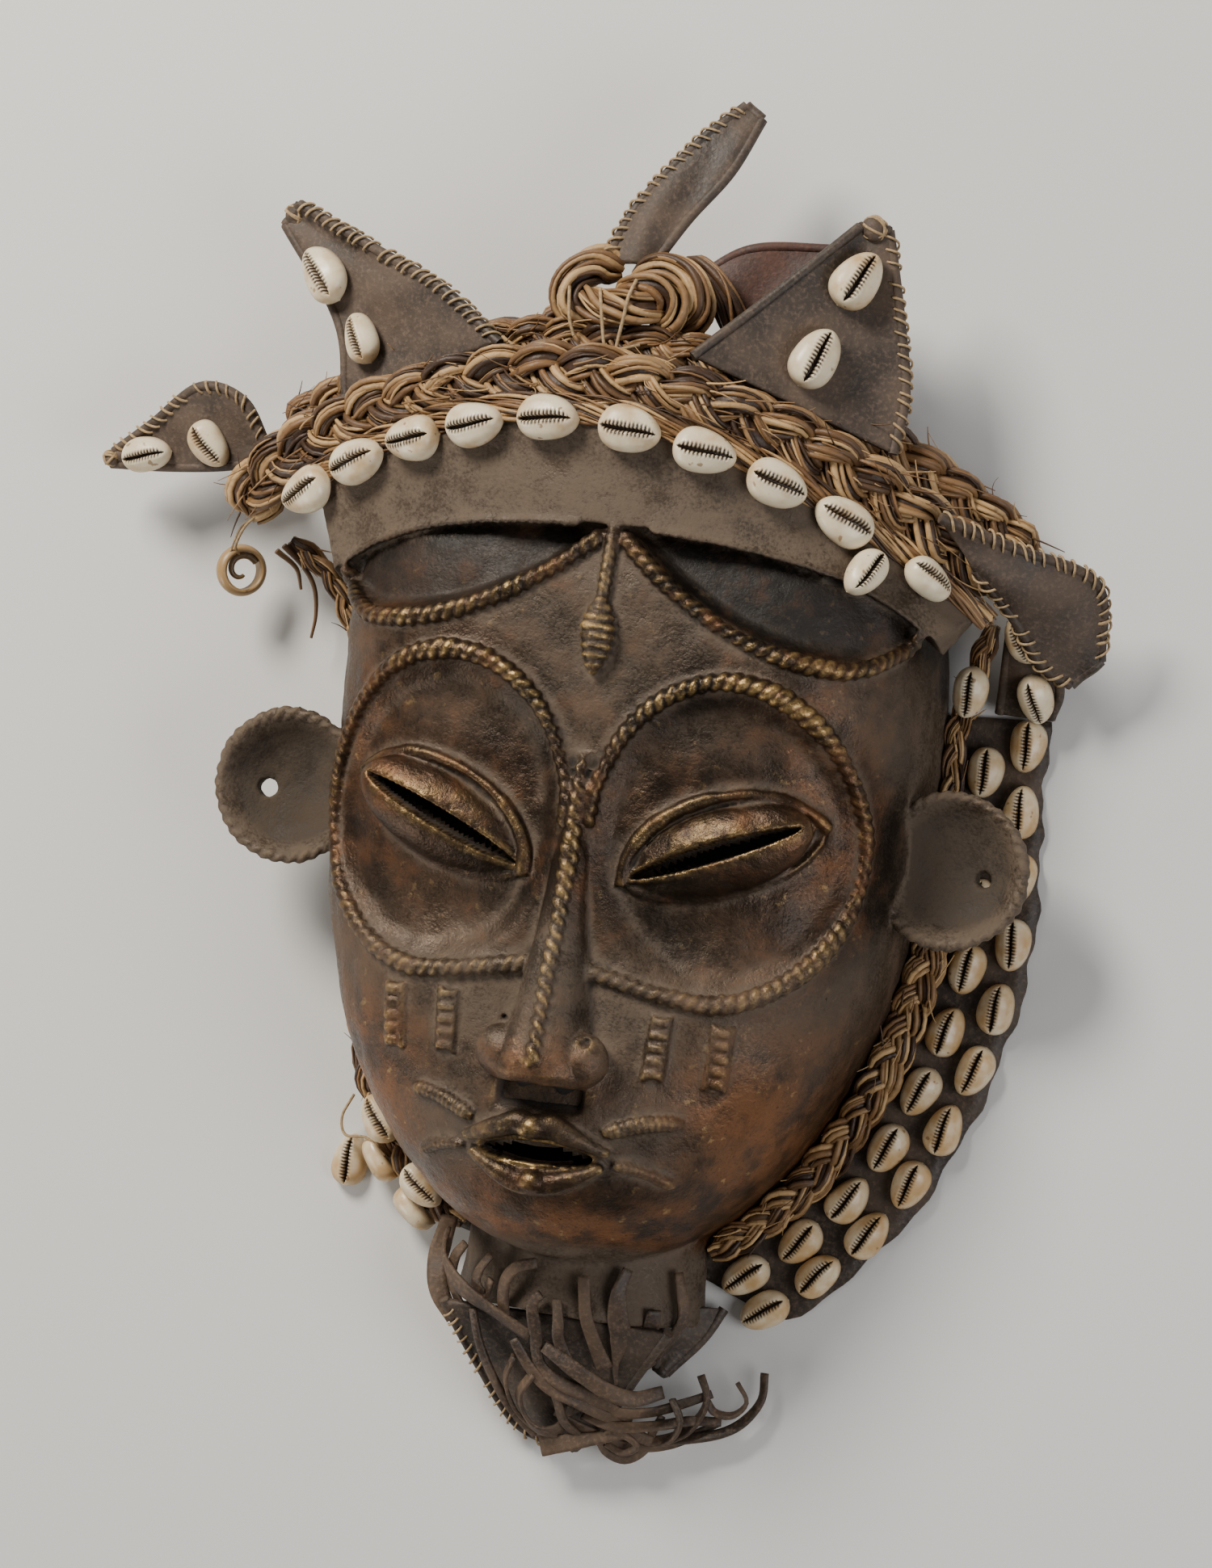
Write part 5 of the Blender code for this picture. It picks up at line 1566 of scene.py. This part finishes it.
# Each thong on the neck: width, thickness, the way it faces and its places, then its widths as shares
neckThongs = (
    (5.0, 1.3, (0.2, 0, 1), ((9, -154, 39.2), (10, -161, 39.4), (11, -168, 37.5), (14, -178, 31),
     (17, -185, 27)), (0.8, 0.8, 0.9, 1, 1.1)),
    (7.2, 1.3, (0.5, 0, 1), ((23, -150, 36.5), (21, -158, 37.5), (21, -166, 35), (22, -174, 31),
     (20, -183, 26), (20, -190, 22)), (0.5, 0.75, 1, 1, 0.35, 0.15)),
    (6.0, 1.3, (0.8, 0, 1), ((32, -163, 30), (31, -169, 28), (29, -177, 23), (30, -183, 18))),
    (7.0, 1.6, (0.2, 0.3, 1), ((-47, -144, 12), (-46, -158, 24), (-43, -168, 27), (-37, -176, 27))),
    (5.4, 1.6, (-0.5, -0.5, 1), ((-45, -148, 20), (-42, -156, 30), (-33, -164, 37), (-20, -171, 36.5),
     (-8, -177, 35))),
    (3.8, 1.3, (-0.6, 0, 1), ((-24, -152, 37), (-27, -157, 38), (-28, -162, 37), (-25, -166, 35),
     (-23, -160, 37.5))),
    (4.4, 1.4, (-0.3, 0, 1), ((-7, -152, 41), (-13, -154, 42), (-17, -159, 41), (-18, -167, 37),
     (-17, -175, 33))),
    (4.6, 1.4, (-1.0, 0, 1), ((-35, -150, 31), (-38, -155, 31), (-39, -162, 29), (-36, -169, 29),
     (-31, -174, 30))),
    (4.4, 1.4, (1.2, 0, 1), ((37, -150, 24), (39, -157, 24), (40, -165, 22), (36, -173, 20),
     (31, -180, 18))),
    (4.0, 1.3, (0, 0, 1), ((1, -163, 40), (2, -170, 39), (2, -177, 35), (6, -185, 30))),
    (3.0, 2.0, (-0.3, 0, 1), ((-29, -171, 34), (-26, -184, 29), (-20, -197, 23), (-14, -206, 18),
     (-8, -212, 13))),
)


def tinted(meshes):
    for mesh in meshes:
        setAttribute(mesh, "tint", np.full(len(mesh.vertices), dice.random()))
    return meshes


def chinThongs():
    tassel = tinted([ribbonMesh(*row) for row in tasselThongs])
    place("thong_tassel_look", joined("thong_tassel", tassel), thong, "thong_leather", "thong_tassel")
    laced = tinted([ribbonMesh(wide, thick, places, 0, *widths, out=out)
                    for wide, thick, out, places, *widths in neckThongs])
    place("neck_lacing", joined("neck_lacing", laced), thong, "thong_leather")


looseThings()
chinThongs()
print("loose things done")


# Stage, light and camera

# Each light: its place in metres, size, watts and colour
studio = {
    "floor": (0.70, 0.69, 0.67),
    "sky": (0.58, 0.57, 0.56),
    "skyStrength": 0.26,
    "aim": (0.02, 0, 0.05),
    "key": ((-0.62, 0.92, 1.05), 0.55, 32, (1.0, 0.95, 0.87)),
    "fill": ((1.15, -0.25, 0.95), 0.8, 11, (0.96, 0.97, 1.0)),
    "low": ((-0.95, -0.75, 0.50), 0.6, 6, (1.0, 0.95, 0.88)),
}


def stage():
    bm = bmesh.new()
    bmesh.ops.create_grid(bm, x_segments=1, y_segments=1, size=3)
    floor = bpy.data.objects.new("floor", meshOf("floor", bm))
    bpy.context.scene.collection.objects.link(floor)
    made, _, shader = newMaterial("floor")
    shader.inputs["Base Color"].default_value = (*studio["floor"], 1)
    shader.inputs["Roughness"].default_value = 0.9
    floor.data.materials.append(made)
    for name in ("key", "fill", "low"):
        where, size, power, colour = studio[name]
        light = bpy.data.lights.new(name, "AREA")
        light.shape = "DISK"
        light.size = size
        light.energy = power
        light.color = colour
        holder = bpy.data.objects.new(name, light)
        bpy.context.scene.collection.objects.link(holder)
        holder.location = where
        holder.rotation_euler = (Vector(studio["aim"]) - Vector(where)).to_track_quat("-Z", "Y").to_euler()
    world = bpy.data.worlds.new("studio")
    world.use_nodes = True
    world.node_tree.nodes["Background"].inputs["Color"].default_value = (*studio["sky"], 1)
    world.node_tree.nodes["Background"].inputs["Strength"].default_value = studio["skyStrength"]
    bpy.context.scene.world = world


view = {"yaw": 15, "pitch": 1, "roll": 7, "lens": 128.3, "across": 473.585, "up": 40.135, "height": 1.824159}


def camera():
    yaw, pitch, roll = (radians(view[key]) for key in ("yaw", "pitch", "roll"))
    back = Vector((sin(yaw) * cos(pitch), sin(pitch), cos(yaw) * cos(pitch)))
    right0 = Vector((cos(yaw), 0, -sin(yaw)))
    up0 = back.cross(right0)
    right = right0 * cos(roll) + up0 * sin(roll)
    up = up0 * cos(roll) - right0 * sin(roll)
    lens = bpy.data.cameras.new("camera")
    lens.sensor_width = 36
    lens.lens = view["lens"]
    lens.clip_start = 0.1
    holder = bpy.data.objects.new("camera", lens)
    bpy.context.scene.collection.objects.link(holder)
    turn = Matrix((right, up, back)).transposed().to_4x4()
    stand = spot(view["across"], view["up"], 0)
    holder.matrix_world = Matrix.Translation((stand.x, stand.y, view["height"])) @ turn
    bpy.context.scene.camera = holder


stage()
camera()
